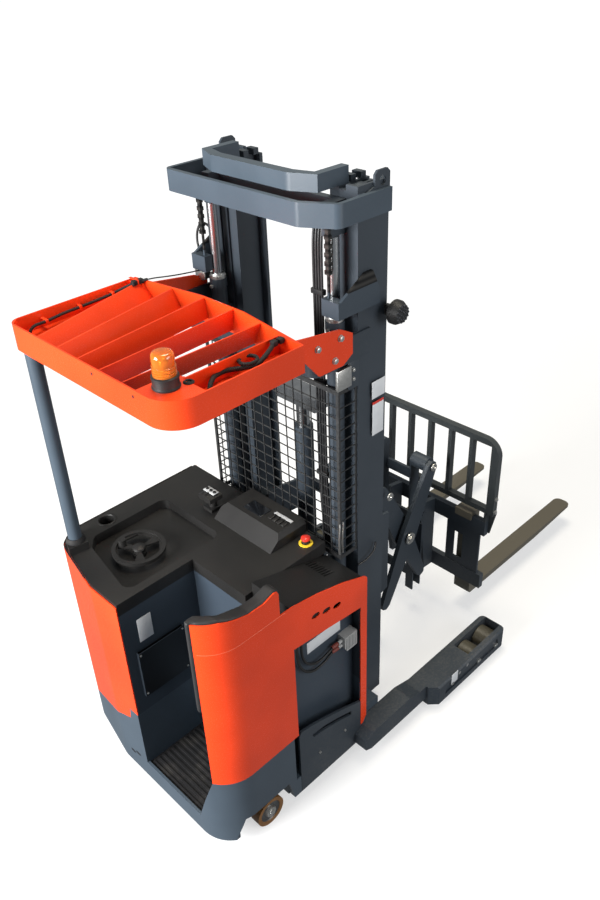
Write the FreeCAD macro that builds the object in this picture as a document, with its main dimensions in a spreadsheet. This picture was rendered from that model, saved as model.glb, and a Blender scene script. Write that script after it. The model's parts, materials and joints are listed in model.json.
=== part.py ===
import FreeCAD, Part
import math
import os
import Sketcher

# Stand-up reach truck: battery-electric, with a rear operator well, straddle legs,
# a triplex mast and a pantograph that carries the forks.
# Millimetres.  +X is towards the fork tips, +Y is the truck's left, +Z is up.
# Every length below is measured from the rear face of the hull; rear_x then moves
# the whole truck so that the origin lies on the floor under the middle of its length.

Vec = FreeCAD.Vector
doc = FreeCAD.newDocument("ReachTruck")
sheet = doc.addObject("Spreadsheet::Sheet", "sizes")
row_count = [0]


class Size:
    """A number together with the sheet expression that it comes from."""

    def __init__(self, value, text):
        self.value = float(value)
        self.text = text

    def __add__(self, other):
        o = as_size(other)
        return Size(self.value + o.value, "(" + self.text + " + " + o.text + ")")

    def __radd__(self, other):
        return as_size(other) + self

    def __sub__(self, other):
        o = as_size(other)
        return Size(self.value - o.value, "(" + self.text + " - " + o.text + ")")

    def __rsub__(self, other):
        return as_size(other) - self

    def __mul__(self, other):
        o = as_size(other)
        return Size(self.value * o.value, self.text + " * " + o.text)

    def __rmul__(self, other):
        return as_size(other) * self

    def __truediv__(self, other):
        o = as_size(other)
        return Size(self.value / o.value, self.text + " / " + o.text)

    def __neg__(self):
        return Size(-self.value, "(0 - " + self.text + ")")


def as_size(x):
    if isinstance(x, Size):
        return x
    return Size(x, "(" + repr(round(float(x), 6)) + ")")


def size(name, value):
    """Write one driving dimension into the sheet and hand back its Size."""
    row_count[0] += 1
    row = str(row_count[0])
    sheet.set("A" + row, name)
    sheet.set("B" + row, repr(float(value)))
    sheet.setAlias("B" + row, name)
    return Size(value, "sizes." + name)


def num(x):
    return x.value if isinstance(x, Size) else float(x)


def bind(obj, prop, x):
    if isinstance(x, Size):
        obj.setExpression(prop, x.text)


def clean(name):
    return "".join(w.capitalize() for w in name.split("_"))


finished = {}


# ---------------------------------------------------------------- sketch and solid helpers

PLANES = {"XY": "XY_Plane", "XZ": "XZ_Plane", "YZ": "YZ_Plane"}


def new_body(name):
    return doc.addObject("PartDesign::Body", clean(name))


def new_sketch(body, plane, level):
    """A sketch on one of the body's own planes, moved to level along the truck's axis."""
    sk = body.newObject("Sketcher::SketchObject", body.Name + "Sketch")
    face = [f for f in body.Origin.OriginFeatures if f.Role == PLANES[plane]][0]
    sk.AttachmentSupport = [(face, "")]
    sk.MapMode = "FlatFace"
    shift = -as_size(level) if plane == "XZ" else as_size(level)
    sk.AttachmentOffset = FreeCAD.Placement(Vec(0, 0, shift.value), FreeCAD.Rotation())
    bind(sk, ".AttachmentOffset.Base.z", shift)
    return sk


def fix(sk, kind, geo, pos, x):
    k = sk.addConstraint(Sketcher.Constraint(kind, -1, 1, geo, pos, num(x)))
    if isinstance(x, Size):
        sk.setExpression("Constraints[" + str(k) + "]", x.text)


def add_loop(sk, pts):
    """A closed outline through pts, each corner held by its two distances."""
    start = sk.GeometryCount
    n = len(pts)
    for i in range(n):
        a = pts[i]
        b = pts[(i + 1) % n]
        sk.addGeometry(Part.LineSegment(Vec(num(a[0]), num(a[1]), 0),
                                        Vec(num(b[0]), num(b[1]), 0)), False)
    for i in range(n):
        sk.addConstraint(Sketcher.Constraint("Coincident", start + i, 2,
                                             start + (i + 1) % n, 1))
    for i in range(n):
        fix(sk, "DistanceX", start + i, 1, pts[i][0])
        fix(sk, "DistanceY", start + i, 1, pts[i][1])


def add_circle(sk, cx, cy, radius):
    g = sk.addGeometry(Part.Circle(Vec(num(cx), num(cy), 0), Vec(0, 0, 1), num(radius)), False)
    fix(sk, "DistanceX", g, 3, cx)
    fix(sk, "DistanceY", g, 3, cy)
    k = sk.addConstraint(Sketcher.Constraint("Radius", g, num(radius)))
    if isinstance(radius, Size):
        sk.setExpression("Constraints[" + str(k) + "]", radius.text)


def fill(sk, shapes):
    for s in shapes:
        if s[0] == "round":
            add_circle(sk, s[1], s[2], s[3])
        elif s[0] == "rect":
            x0, x1, y0, y1 = s[1], s[2], s[3], s[4]
            add_loop(sk, [(x0, y0), (x1, y0), (x1, y1), (x0, y1)])
        else:
            add_loop(sk, s[1])


def pad(body, plane, shapes, low, high):
    """Add material with this outline between two levels of the plane's axis."""
    sk = new_sketch(body, plane, high if plane == "XZ" else low)
    fill(sk, shapes)
    feat = body.newObject("PartDesign::Pad", body.Name + "Pad")
    feat.Profile = sk
    length = as_size(high) - as_size(low)
    feat.Length = length.value
    bind(feat, "Length", length)
    sk.Visibility = False
    doc.recompute()
    return feat


def cut(body, plane, shapes, low, high):
    """Remove this outline between two levels; the volume must drop."""
    before = body.Shape.Volume
    sk = new_sketch(body, plane, low if plane == "XZ" else high)
    fill(sk, shapes)
    feat = body.newObject("PartDesign::Pocket", body.Name + "Pocket")
    feat.Profile = sk
    length = as_size(high) - as_size(low)
    feat.Length = length.value
    bind(feat, "Length", length)
    sk.Visibility = False
    doc.recompute()
    if not body.Shape.Volume < before - 1e-6:
        raise RuntimeError("a pocket of " + body.Name + " cuts nothing: "
                           + str([(o.Name, o.getStatusString()) for o in body.Group if "Invalid" in o.State]))
    return feat


def edges_at(body, axis, spots, span=None):
    """Names of the straight edges along axis that pass through the given spots."""
    found = []
    k = "xyz".index(axis)
    for i, e in enumerate(body.Shape.Edges):
        if len(e.Vertexes) != 2 or e.Curve.TypeId != "Part::GeomLine":
            continue
        a = e.Vertexes[0].Point - body.Placement.Base
        b = e.Vertexes[1].Point - body.Placement.Base
        d = b - a
        if abs(abs(d[k]) - d.Length) > 1e-4:
            continue
        flat = [a[j] for j in range(3) if j != k]
        if span and not (span[0] - 1e-3 <= min(a[k], b[k]) and max(a[k], b[k]) <= span[1] + 1e-3):
            continue
        for s in spots:
            if abs(flat[0] - num(s[0])) < 0.02 and abs(flat[1] - num(s[1])) < 0.02:
                found.append("Edge" + str(i + 1))
    return found


def round_edges(body, axis, spots, radius, span=None):
    names = edges_at(body, axis, spots, span)
    if not names:
        raise RuntimeError("no edge to round on " + body.Name)
    before = body.Tip
    feat = body.newObject("PartDesign::Fillet", body.Name + "Fillet")
    feat.Base = (before, names)
    feat.Radius = num(radius)
    bind(feat, "Radius", radius)
    doc.recompute()
    return feat


def bevel_edges(body, axis, spots, leg, span=None):
    names = edges_at(body, axis, spots, span)
    if not names:
        raise RuntimeError("no edge to bevel on " + body.Name)
    before = body.Tip
    feat = body.newObject("PartDesign::Chamfer", body.Name + "Chamfer")
    feat.Base = (before, names)
    feat.Size = num(leg)
    bind(feat, "Size", leg)
    doc.recompute()
    return feat


def spin(body, plane, pts, centre):
    """Revolve an outline about an axis.

    plane XY: pts are (radius, y) and the axis runs along Y.
    plane XZ: pts are (radius, z) and the axis runs along Z.
    The body itself is moved so that its own axis lies at centre.
    """
    sk = new_sketch(body, plane, 0)
    add_loop(sk, pts)
    feat = body.newObject("PartDesign::Revolution", body.Name + "Revolution")
    feat.Profile = sk
    feat.ReferenceAxis = (sk, ["V_Axis"])
    feat.Angle = 360
    sk.Visibility = False
    place(body, centre)
    doc.recompute()
    return feat


def place(obj, at):
    """Put obj at a point given in hull coordinates (x from the rear face)."""
    obj.Placement = FreeCAD.Placement(Vec(num(at[0]), num(at[1]), num(at[2])),
                                      obj.Placement.Rotation)
    bind(obj, ".Placement.Base.y", at[1])
    bind(obj, ".Placement.Base.z", at[2])
    obj_x[obj.Name] = at[0]


obj_x = {}


def finish(name, body):
    """Name a body and give it its place along the truck."""
    x = as_size(obj_x.get(body.Name, 0)) + rear_x
    body.Label = name
    base = body.Placement.Base
    body.Placement = FreeCAD.Placement(Vec(x.value, base.y, base.z), body.Placement.Rotation)
    bind(body, ".Placement.Base.x", x)
    finished[name] = body
    return body


def prism(name, plane, shapes, low, high):
    body = new_body(name)
    pad(body, plane, shapes, low, high)
    return body


def pair(side, near, far):
    """The (low, high) y levels between two distances from the centre plane, on one side."""
    if side > 0:
        return near, far
    return -as_size(far), -as_size(near)


def signed(side, v):
    return as_size(v) if side > 0 else -as_size(v)


def box_on(body, side, x0, x1, near, far, z0, z1):
    """A block between two distances from the centre plane, on one side of it."""
    lo, hi = pair(side, near, far)
    pad(body, "XY", [("rect", x0, x1, lo, hi)], z0, z1)


# ---------------------------------------------------------------- driving sizes

gap = size("seat_gap", 0.3)              # between pieces of different bodies at a seat
clear = size("running_clear", 5)         # between moving pieces elsewhere

# hull and covers
body_len = size("hull_length", 870)
half_wide = size("hull_half_width", 565)
skirt_low = size("skirt_height", 70)
skirt_top = size("skirt_top", 455)
cover_foot = size("cover_foot", 493)
cover_side = size("cover_side_foot", 232)
notch_near = size("cover_notch_near", 60)
notch_deep = size("cover_notch_depth", 68)
hull_wall = size("hull_wall", 12)
corner_r = size("rear_right_radius", 172)
flat_y = size("rear_flat_end", 186)
turn_x = size("left_turn_x", 65)
turn_in = size("left_turn_inset", 65)
left_x = size("left_side_start", 150)
turn_r = size("left_turn_radius", 90)
hull_front_r = size("hull_front_round", 4)
cover_wall = size("cover_wall", 5)

well_deep = size("well_depth", 394)
well_left = size("well_left", 0)
caster_bay = size("caster_bay_width", 180)
floor_high = size("floor_height", 160)
floor_wall = size("floor_plate", 12)
sill_rise = size("sill_rise", 15)
mat_t = size("mat_thickness", 6)
rib_step = size("mat_rib_step", 26)
rib_t = size("mat_rib_height", 4)
pocket_x = size("pocket_rear", 52)
pocket_len = size("pocket_length", 240)
pocket_low = size("pocket_low", 585)
pocket_tall = size("pocket_height", 255)
pocket_t = size("pocket_thickness", 16)
arch_top = size("caster_arch_top", 197)

bay_wall = size("bay_front_wall", 22)
bay_base = size("battery_bay_floor", 180)
battery_side = size("battery_side_gap", 60)
battery_tall = size("battery_height", 740)
battery_end = size("battery_end_gap", 8)
pillar_wide = size("pillar_width", 39)
pillar_low = size("pillar_bottom", 172)
column_back = size("column_return", 39)
column_top = size("column_top", 1343)
column_dip = size("column_dip", 33)
column_nose = size("column_nose", 372)
column_y = size("column_edge_y", 478)
pad_t = size("column_pad_thickness", 26)
panel_top = size("panel_top_rear", 1199)
panel_fall = size("panel_front_drop", 121)
panel_round = size("panel_corner", 24)
open_top = size("opening_top_rear", 972)
open_fall = size("opening_fall", 47)
gate_high = size("gate_top_rear", 468)
gate_fall = size("gate_fall", 133)
gate_slot = size("gate_slot_height", 24)
oval_x = size("oval_first_x", 560)
oval_step = size("oval_step", 62)
oval_z = size("oval_height", 1068)
oval_half = size("oval_half_length", 24)
oval_tall = size("oval_half_height", 11)
oval_fall = size("oval_fall", 15)

cover_top = size("cover_top", 1128)
console_rise = size("console_rise", 12)
console_thick = size("console_thickness", 60)
tray_deep = size("tray_depth", 46)
tray_rear = size("tray_rear", 84)
tray_edge = size("tray_side_ledge", 120)
tray_len = size("tray_length", 500)
tray_r = size("tray_corner", 42)
cup_x = size("cup_x", 300)
cup_r = size("cup_radius", 34)
boss_tall = size("post_boss_height", 38)
pod_x = size("pod_rear", 640)
pod_half = size("pod_half_width", 150)
pod_tall = size("pod_height", 62)
vent_step = size("vent_step", 15)
vent_wide = size("vent_length", 80)
stop_r = size("stop_button_radius", 17)
steer_r = size("steering_wheel_radius", 118)
handle_x = size("handle_x", 690)
handle_y = size("handle_y", 215)
handle_r = size("handle_grip_radius", 19)

connector_len = size("connector_length", 78)
connector_wide = size("connector_width", 42)
connector_tall = size("connector_height", 84)
connector_z = size("connector_low", 702)
cable_r = size("cable_radius", 6)

# drive unit and caster
drive_x = size("drive_x", 206)
drive_in = size("drive_inset", 310)
drive_r = size("drive_wheel_radius", 152)
drive_w = size("drive_wheel_width", 110)
stub_r = size("drive_stub_radius", 24)
mount_z = size("drive_mount_height", 430)
mount_t = size("drive_mount_plate", 20)
neck_r = size("drive_neck_radius", 88)
motor_r = size("drive_motor_radius", 105)
motor_tall = size("drive_motor_height", 330)

caster_x = size("caster_x", 243)
caster_in = size("caster_inset", 60)
caster_r = size("caster_wheel_radius", 75)
caster_w = size("caster_wheel_width", 50)
caster_off = size("caster_wheel_offset", 10)
caster_trail = size("caster_trail", 20)
caster_plate = size("caster_plate_height", 236)
fork_side = size("caster_leg_plate", 12)
swivel_r = size("caster_swivel_radius", 43)
stem_r = size("caster_stem_radius", 22)
caster_pin = size("caster_axle_radius", 10)

# straddle legs
leg_over = size("leg_overhang", 125)
leg_wide = size("leg_width", 155)
leg_thin = size("leg_arm_width", 101)
leg_back = size("leg_lap_on_hull", 80)
leg_run = size("leg_arm_run", 375)
leg_long = size("leg_head_length", 617)
leg_low = size("leg_underside", 26)
leg_top = size("leg_top", 148)
leg_ridge = size("leg_ridge", 22)
arm_low = size("leg_arm_underside", 62)
wheel_r = size("load_wheel_radius", 63.5)
wheel_w = size("load_wheel_width", 82)
wheel_end = size("load_wheel_from_tip", 76)
wheel_pitch = size("load_wheel_pitch", 154)
axle_r = size("load_axle_radius", 12.5)
leg_bevel = size("leg_step_bevel", 40)
leg_round = size("leg_tip_round", 30)
leg_recess = size("leg_side_recess", 8)
beam_top = size("frame_beam_top", 215)

# mast
mast_gap = size("mast_from_hull", 120)
rail_deep = size("rail_depth", 165)
rail_out = size("rail_outer_face", 405)
rail_top = size("outer_rail_top", 2640)
outer_deep = size("outer_rail_width", 55)
stage_gap = size("stage_gap", 5)
web = size("rail_web", 12)
flange = size("rail_flange", 16)
mid_groove = size("middle_rail_groove", 9)
mid_wide = size("middle_rail_width", 33)
mid_ahead = size("middle_rail_ahead", 6)
in_ahead = size("inner_rail_ahead", 12)
mast_roll = size("mast_roller_height", 140)
stage_low = size("stage_bottom_step", 16)
mid_short = size("middle_rail_below_top", 22)
in_wide = size("inner_rail_width", 45)
in_short = size("inner_rail_below_top", 15)

tie_out = size("tie_beyond_rail", 28)
tie_over = size("tie_over_hull", 75)
tie_corner = size("tie_corner_round", 34)
tie_kink = size("tie_kink", 301)
tie_turn = size("tie_turn_run", 74)
tie_drop = size("tie_below_top", 110)
tie_tall = size("tie_height", 85)
tie_deep = size("tie_plate", 20)
bow_rear = size("bow_behind_rail", 140)
bow_kink = size("bow_kink", 205)
bow_turn = size("bow_turn_run", 45)
bow_tall = size("bow_height", 62)
bow_deep = size("bow_depth", 44)

yoke_rear = size("guard_yoke_behind_rail", 245)
yoke_low = size("guard_yoke_low", 2000)
yoke_tall = size("guard_yoke_height", 105)
yoke_wall = size("guard_yoke_plate", 10)
cross_low = size("low_cross_low", 640)
cross_tall = size("low_cross_height", 120)
cross_t = size("low_cross_plate", 18)

cyl_back = size("lift_cylinder_behind_rail", 52)
cyl_in = size("lift_cylinder_from_face", 69)
cyl_r = size("lift_barrel_radius", 33)
rod_r = size("lift_rod_radius", 21)
cyl_top = size("lift_barrel_top", 2150)
gland_r = size("lift_gland_radius", 37)
gland_tall = size("lift_gland_height", 36)
head_low = size("middle_head_low", 2470)
head_tall = size("middle_head_height", 120)
lift_stroke = size("mast_stroke", 1500)
rod_left = size("lift_rod_left_in", 150)

free_ahead = size("free_cylinder_ahead", 88)
free_r = size("free_barrel_radius", 44)
free_rod = size("free_rod_radius", 30)
free_top = size("free_barrel_top", 1500)
free_in = size("free_rod_inside", 860)
foot_low = size("inner_foot_low", 100)
foot_tall = size("inner_foot_height", 72)
free_head = size("free_head_rise", 120)
chain_wide = size("leaf_chain_width", 16)
chain_t = size("leaf_chain_thickness", 14)
chain_pitch = size("leaf_chain_pitch", 32)

mesh_back = size("mesh_behind_rail", 106)
mesh_low = size("mesh_low", 1060)
mesh_tall = size("mesh_height", 830)
mesh_step = size("mesh_step", 50)
wire = size("mesh_wire", 4)
mesh_rim = size("mesh_rim", 20)

# overhead guard
guard_rear = size("guard_rear", 57)
guard_half = size("guard_half_width", 485)
guard_side = size("guard_side_from_mast", 360)
guard_bow = size("guard_bow_ahead", 55)
guard_bowy = size("guard_bow_half", 120)
guard_top = size("guard_top", 2207)
guard_deep = size("guard_depth", 105)
guard_wall = size("guard_rim_wall", 6)
guard_chan = size("guard_side_channel", 62)
guard_r_right = size("guard_right_radius", 115)
guard_r_left = size("guard_left_radius", 45)
slat_rear_y = size("slat_rear_y", 288)
slat_rear_step = size("slat_rear_step", 129)
slat_fore_y = size("slat_front_y", 448)
slat_fore_step = size("slat_front_step", 170)
slat_tall = size("slat_height", 63)
slat_grow = size("slat_height_growth", 8)
slat_t = size("slat_plate", 5)
eye_y = size("operator_eye_y", 13)
eye_drop = size("operator_eye_below_guard", 505)
guard_floor = size("guard_channel_floor", 32)
floor_t = size("guard_channel_plate", 8)
gusset_t = size("gusset_plate", 8)
post_x = size("post_x", 105)
post_in = size("post_inset", 125)
post_r = size("post_radius", 30)
beacon_r = size("beacon_radius", 52)
beacon_tall = size("beacon_height", 118)

# pantograph
arm_ahead = size("arm_ahead_of_mast", 270)
arm_z = size("arm_pivot_z", 1020)
arm_reach = size("arm_rest_reach", 345)
low_z = size("arm_low_end", 300)
arm_y_out = size("outer_arm_inner_face", 193)
arm_y_in = size("inner_arm_inner_face", 153)
arm_t = size("arm_plate", 24)
arm_deep = size("arm_middle_half", 62)
arm_end = size("arm_end_half", 32)
mid_tube = size("arm_middle_tube", 16)
pin_r = size("arm_pin_radius", 17)
lug_r = size("arm_lug_radius", 40)
roller_r = size("arm_roller_radius", 27)
chan_in = size("channel_inner_face", 98)
chan_deep = size("channel_depth", 49)
chan_wall = size("channel_wall", 8)
chan_low = size("channel_low", 165)

car_plate = size("carriage_plate", 14)
car_low = size("carriage_low", 430)
car_tall = size("carriage_height", 580)

# forks, bars and backrest
fork_ahead = size("fork_ahead_of_arms", 230)
fork_len = size("fork_length", 1070)
fork_wide = size("fork_width", 102)
fork_thick = size("fork_thickness", 35)
fork_tip = size("fork_tip_thickness", 12)
fork_y = size("fork_centre_y", 322)
fork_z = size("fork_top", 155)
fork_round = size("fork_tip_round", 38)
heel_r = size("fork_heel_radius", 22)
bar_t = size("fork_bar_thickness", 32)
bar_half = size("fork_bar_half", 455)
bar_low = size("fork_bar_low", 232)
bar_tall = size("fork_bar_height", 92)
bar_high = size("fork_bar_high", 598)
hook_over = size("fork_hook_height", 22)
tilt_ahead = size("tilt_pin_ahead", 28)
tilt_rise = size("tilt_pin_rise", 40)
tilt_pin = size("tilt_pin_radius", 14)
web_in = size("fork_bar_web_inner", 215)
rest_top = size("backrest_top", 1195)
rest_half = size("backrest_half", 495)
rest_r = size("backrest_tube", 17)
rest_round = size("backrest_corner", 90)
rest_bar = size("backrest_bar_width", 22)

# places that follow from the sizes above
well_right = caster_bay - half_wide
turn_y = half_wide - turn_in
bay_front = body_len - bay_wall
bay_rear = well_deep + hull_wall
pillar_x = body_len - pillar_wide
column_fore = well_deep + column_back
panel_low = panel_top - panel_fall
console_top = cover_top + console_rise
console_low = console_top - console_thick
bay_end = half_wide - hull_wall
sill_high = floor_high + sill_rise
drive_y = half_wide - drive_in
caster_y = caster_in - half_wide
leg_out = half_wide + leg_over
leg_in = leg_out - leg_wide
leg_arm = leg_in + leg_thin
leg_rear = body_len - leg_back
leg_step = body_len + leg_run
leg_tip = leg_step + leg_long
wheel_b = leg_tip - wheel_end
wheel_a = wheel_b - wheel_pitch
slot_y = leg_out - leg_wide / 2
rail_rear = body_len + mast_gap
rail_front = rail_rear + rail_deep
rail_low = arm_low
mid_low = rail_low + stage_low
in_low = mid_low + stage_low
mid_top = rail_top - mid_short
in_top = rail_top - in_short
mid_out = rail_out - outer_deep - stage_gap
in_out = mid_out - mid_wide - stage_gap
in_clear = in_out - in_wide
tie_half = rail_out + tie_out
tie_back = body_len - tie_over
tie_low = rail_top - tie_drop
tie_top = tie_low + tie_tall
bow_back = rail_rear - bow_rear
bow_side = bow_back + bow_turn
yoke_back = rail_rear - yoke_rear
yoke_top = yoke_low + yoke_tall
cyl_x = rail_rear - cyl_back
cyl_y = rail_out - cyl_in
head_top = head_low + head_tall
free_x = rail_rear + free_ahead
foot_top = foot_low + foot_tall
mesh_x = rail_rear - mesh_back
mesh_high = mesh_low + mesh_tall
mesh_half = rail_out - clear
guard_front = rail_rear - guard_side
guard_nose = guard_front + guard_bow
guard_low = guard_top - guard_deep
post_y = half_wide - post_in
arm_x = rail_front + arm_ahead
front_x = arm_x + arm_reach
chan_out = chan_in + chan_deep
car_high = car_low + car_tall
car_rear = rail_rear + car_plate * 4
car_front = arm_x - 45
fork_face = front_x + fork_ahead
hook_z = bar_high + bar_tall + gap
hook_top = hook_z + hook_over
bar_x = fork_face - fork_thick - bar_t
tilt_x = front_x + roller_r + chan_wall + 1 + tilt_ahead
tilt_z = bar_high + tilt_rise
total = fork_face + fork_len
rear_x = total / (-2)
doc.recompute()

# ---------------------------------------------------------------- hull and its covers

def well_side(z):
    """The y of the operator well's leaning right wall at height z."""
    return well_right - (column_y + well_right) * (z - sill_high) / (skirt_top - sill_high)


# the inside of the rear right corner, as a polygon that stays within its arc
arc_x = corner_r - (corner_r - hull_wall) * 0.87
arc_y = corner_r - (corner_r - hull_wall) * 0.5


def caster_room(inner_y):
    """Outline of the caster's compartment as far in as inner_y."""
    corner = [(hull_wall + 8, inner_y), (arc_x, arc_y - half_wide)]
    if num(inner_y) < num(arc_y - half_wide):
        corner = [(arc_x + arc_y - half_wide - inner_y, inner_y)]
    return ("loop", corner + [(arc_y, arc_x - half_wide), (corner_r, -bay_end),
                              (well_deep - hull_wall, -bay_end), (well_deep - hull_wall, inner_y)])


hull = new_body("hull")
pad(hull, "XY", [("loop", [(0, flat_y), (turn_x, turn_y), (left_x, half_wide), (body_len, half_wide),
                           (body_len, -half_wide), (0, -half_wide)])], skirt_low, cover_foot)
round_edges(hull, "z", [(0, -half_wide)], corner_r)
round_edges(hull, "z", [(0, flat_y), (turn_x, turn_y), (left_x, half_wide)], turn_r)
round_edges(hull, "z", [(body_len, half_wide), (body_len, -half_wide)], hull_front_r)
cut(hull, "XY", [("rect", -clear, body_len + clear, -half_wide - clear, well_left)],
    skirt_top, cover_foot + 1)
cut(hull, "YZ", [("loop", [(notch_near - 9 * clear / notch_deep, cover_foot + clear),
                           (notch_near + 9, cover_foot - notch_deep), (turn_y, cover_side), (half_wide + clear, cover_side),
                           (half_wide + clear, cover_foot + clear)])], -clear, body_len + clear)
# operator well, its sill, its leaning right wall and the space under its floor
cut(hull, "XY", [("rect", hull_wall, well_deep, well_right, well_left)], floor_high, cover_foot + 1)
cut(hull, "XY", [("rect", -clear, hull_wall + clear, well_right, well_left)], sill_high, cover_foot + 1)
cut(hull, "YZ", [("loop", [(well_right + 1, sill_high), (well_right, sill_high),
                           (-column_y, skirt_top), (-column_y, skirt_top + clear),
                           (well_right + 1, skirt_top + clear)])], -clear, well_deep)
cut(hull, "XY", [("rect", hull_wall, well_deep - hull_wall, well_right, well_left)],
    skirt_low, floor_high - floor_wall)
# drive compartment, left of the well
cut(hull, "XY", [("loop", [(hull_wall, well_left + hull_wall), (hull_wall, flat_y),
                           (turn_x + hull_wall + 4, turn_y - 8), (left_x + 8, bay_end),
                           (well_deep - hull_wall, bay_end),
                           (well_deep - hull_wall, well_left + hull_wall)])], skirt_low, cover_foot + 1)
# caster compartment, right of the well, below and above the plate that carries the swivel
plate_top = caster_plate + hull_wall
cut(hull, "XY", [caster_room(well_right - hull_wall)], skirt_low, sill_high)
cut(hull, "XY", [caster_room(well_side(caster_plate) - hull_wall)], sill_high - 1, caster_plate)
cut(hull, "XY", [caster_room(well_side(plate_top + 50) - hull_wall)], plate_top, plate_top + 50)
cut(hull, "XY", [caster_room(-column_y - hull_wall)], plate_top + 49, skirt_top + 1)
cut(hull, "XZ", [("loop", [(caster_x - 178, skirt_low - clear), (caster_x + 148, skirt_low - clear),
                           (caster_x + 118, arch_top), (caster_x - 130, arch_top)])],
    -half_wide - clear, arc_x - half_wide + 1)
cut(hull, "XY", [("round", caster_x, caster_y, stem_r + gap)], caster_plate - 1, plate_top + 1)
# battery bay, open on the right above its gate
cut(hull, "XY", [("rect", bay_rear, bay_front, -bay_end, bay_end)], bay_base, cover_foot + 1)
cut(hull, "XY", [("rect", bay_rear, pillar_x, -half_wide - clear, -bay_end)], bay_base, skirt_top + 1)
cut(hull, "XY", [("rect", bay_rear, bay_front, -bay_end, bay_end)], skirt_low, bay_base - hull_wall)
cut(hull, "XY", [("rect", column_fore, pillar_x, -half_wide - clear, -bay_end - gap)],
    skirt_low, skirt_top + 1)
cut(hull, "XY", [("rect", pillar_x, body_len + clear, -half_wide - clear, cover_wall - half_wide)],
    pillar_low, skirt_top + 1)
finish("hull", hull)

left_cover = prism("left_cover", "XY", [("loop", [
    (0, well_left), (0, flat_y), (turn_x, turn_y), (left_x, half_wide), (body_len, half_wide),
    (body_len, half_wide - cover_wall), (left_x + 2, half_wide - cover_wall),
    (turn_x + cover_wall, turn_y - 2), (cover_wall, flat_y), (cover_wall, well_left)])],
    cover_side, cover_top)
round_edges(left_cover, "z", [(0, flat_y), (turn_x, turn_y), (left_x, half_wide)], turn_r)
round_edges(left_cover, "z", [(cover_wall, flat_y), (turn_x + cover_wall, turn_y - 2),
                              (left_x + 2, half_wide - cover_wall)], turn_r - cover_wall)
cut(left_cover, "YZ", [("loop", [(well_left - clear, cover_side - clear), (well_left - clear, cover_foot),
                                 (notch_near, cover_foot), (notch_near + 9, cover_foot - notch_deep),
                                 (turn_y, cover_side), (turn_y, cover_side - clear)])],
    -clear, left_x)
finish("left_cover", left_cover)


def column_line(rise):
    """The upper edge of the rear column, rise above the cover's, and all that lies over it."""
    top = column_top + rise
    return ("loop", [(-clear, top), (column_nose * 0.27, top), (column_nose * 0.6, top - column_dip),
                     (column_nose * 0.8, top - column_dip), (column_nose - 22, top - 15),
                     (column_nose - 7, top - 19), (column_nose + rise, top - 34),
                     (column_nose + rise, panel_top + rise), (column_fore + clear, panel_top + rise),
                     (column_fore + clear, top + 20), (-clear, top + 20)])


column = prism("column_cover", "XY", [("loop", [
    (0, well_right), (0, -half_wide), (column_fore, -half_wide), (column_fore, cover_wall - half_wide),
    (cover_wall, cover_wall - half_wide), (cover_wall, well_right)])], skirt_top, column_top)
round_edges(column, "z", [(0, -half_wide)], corner_r)
round_edges(column, "z", [(cover_wall, cover_wall - half_wide)], corner_r - cover_wall)
cut(column, "XY", [("rect", -clear, corner_r, -column_y, well_right + clear)],
    skirt_top - 1, column_top + 1)
cut(column, "XZ", [column_line(0)], -half_wide - clear, well_right + clear)
finish("column_cover", column)

# black padding inside the column: it follows the corner and laps over the cover's rear edge
pad_in = cover_wall + pad_t * 2
inner_r = corner_r - cover_wall - pad_t * 1.6
column_pad = prism("column_pad", "XY", [("loop", [
    (corner_r - (corner_r - cover_wall) * 0.86, -half_wide + corner_r - (corner_r - cover_wall) * 0.5),
    (corner_r - inner_r * 0.87, -half_wide + corner_r - inner_r * 0.49),
    (corner_r - inner_r * 0.7, -half_wide + corner_r - inner_r * 0.71),
    (corner_r - inner_r * 0.42, -half_wide + corner_r - inner_r * 0.91),
    (corner_r, -half_wide + pad_in), (well_deep, -half_wide + pad_in), (well_deep, cover_wall - half_wide),
    (corner_r, cover_wall - half_wide),
    (corner_r - (corner_r - cover_wall) * 0.25, -half_wide + corner_r - (corner_r - cover_wall) * 0.96),
    (corner_r - (corner_r - cover_wall) * 0.56, -half_wide + corner_r - (corner_r - cover_wall) * 0.82),
    (corner_r - (corner_r - cover_wall) * 0.76, -half_wide + corner_r - (corner_r - cover_wall) * 0.64)])],
    skirt_top, column_top + 8)
pad(column_pad, "XY", [("loop", [
    (12, 6 - column_y), (16, pad_t - 4 - column_y), (34, pad_t + 2 - column_y), (62, pad_t - column_y),
    (74, -column_y), (50, 1 - column_y), (12, 1 - column_y)])], column_top * 0.66, column_top + 8)
cut(column_pad, "XZ", [column_line(8)], -half_wide, -column_y + pad_t * 2)
finish("column_pad", column_pad)

panel_run = body_len - column_fore
side_panel = prism("side_panel", "XZ", [("loop", [
    (column_fore, panel_top), (column_fore + panel_run / 3, panel_top - panel_fall * 0.22),
    (column_fore + panel_run * 0.67, panel_top - panel_fall * 0.55), (body_len, panel_low),
    (body_len, pillar_low + pillar_wide), (body_len - pillar_wide * 0.64, pillar_low),
    (pillar_x, pillar_low), (pillar_x, open_top - open_fall), (column_fore, open_top)])],
    -half_wide, cover_wall - half_wide)
round_edges(side_panel, "y", [(body_len, panel_low)], panel_round)
for k in range(3):
    ox = oval_x + oval_step * k
    oz = oval_z - oval_fall * k
    cut(side_panel, "XZ", [("loop", [(ox - oval_half, oz), (ox - oval_half * 0.7, oz - oval_tall * 0.8),
                                     (ox, oz - oval_tall * 1.2), (ox + oval_half * 0.7, oz - oval_tall),
                                     (ox + oval_half, oz - oval_tall * 0.2),
                                     (ox + oval_half * 0.7, oz + oval_tall * 0.8),
                                     (ox, oz + oval_tall * 1.2), (ox - oval_half * 0.7, oz + oval_tall)])],
        -half_wide - clear, cover_wall - half_wide + clear)
finish("side_panel", side_panel)

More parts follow.
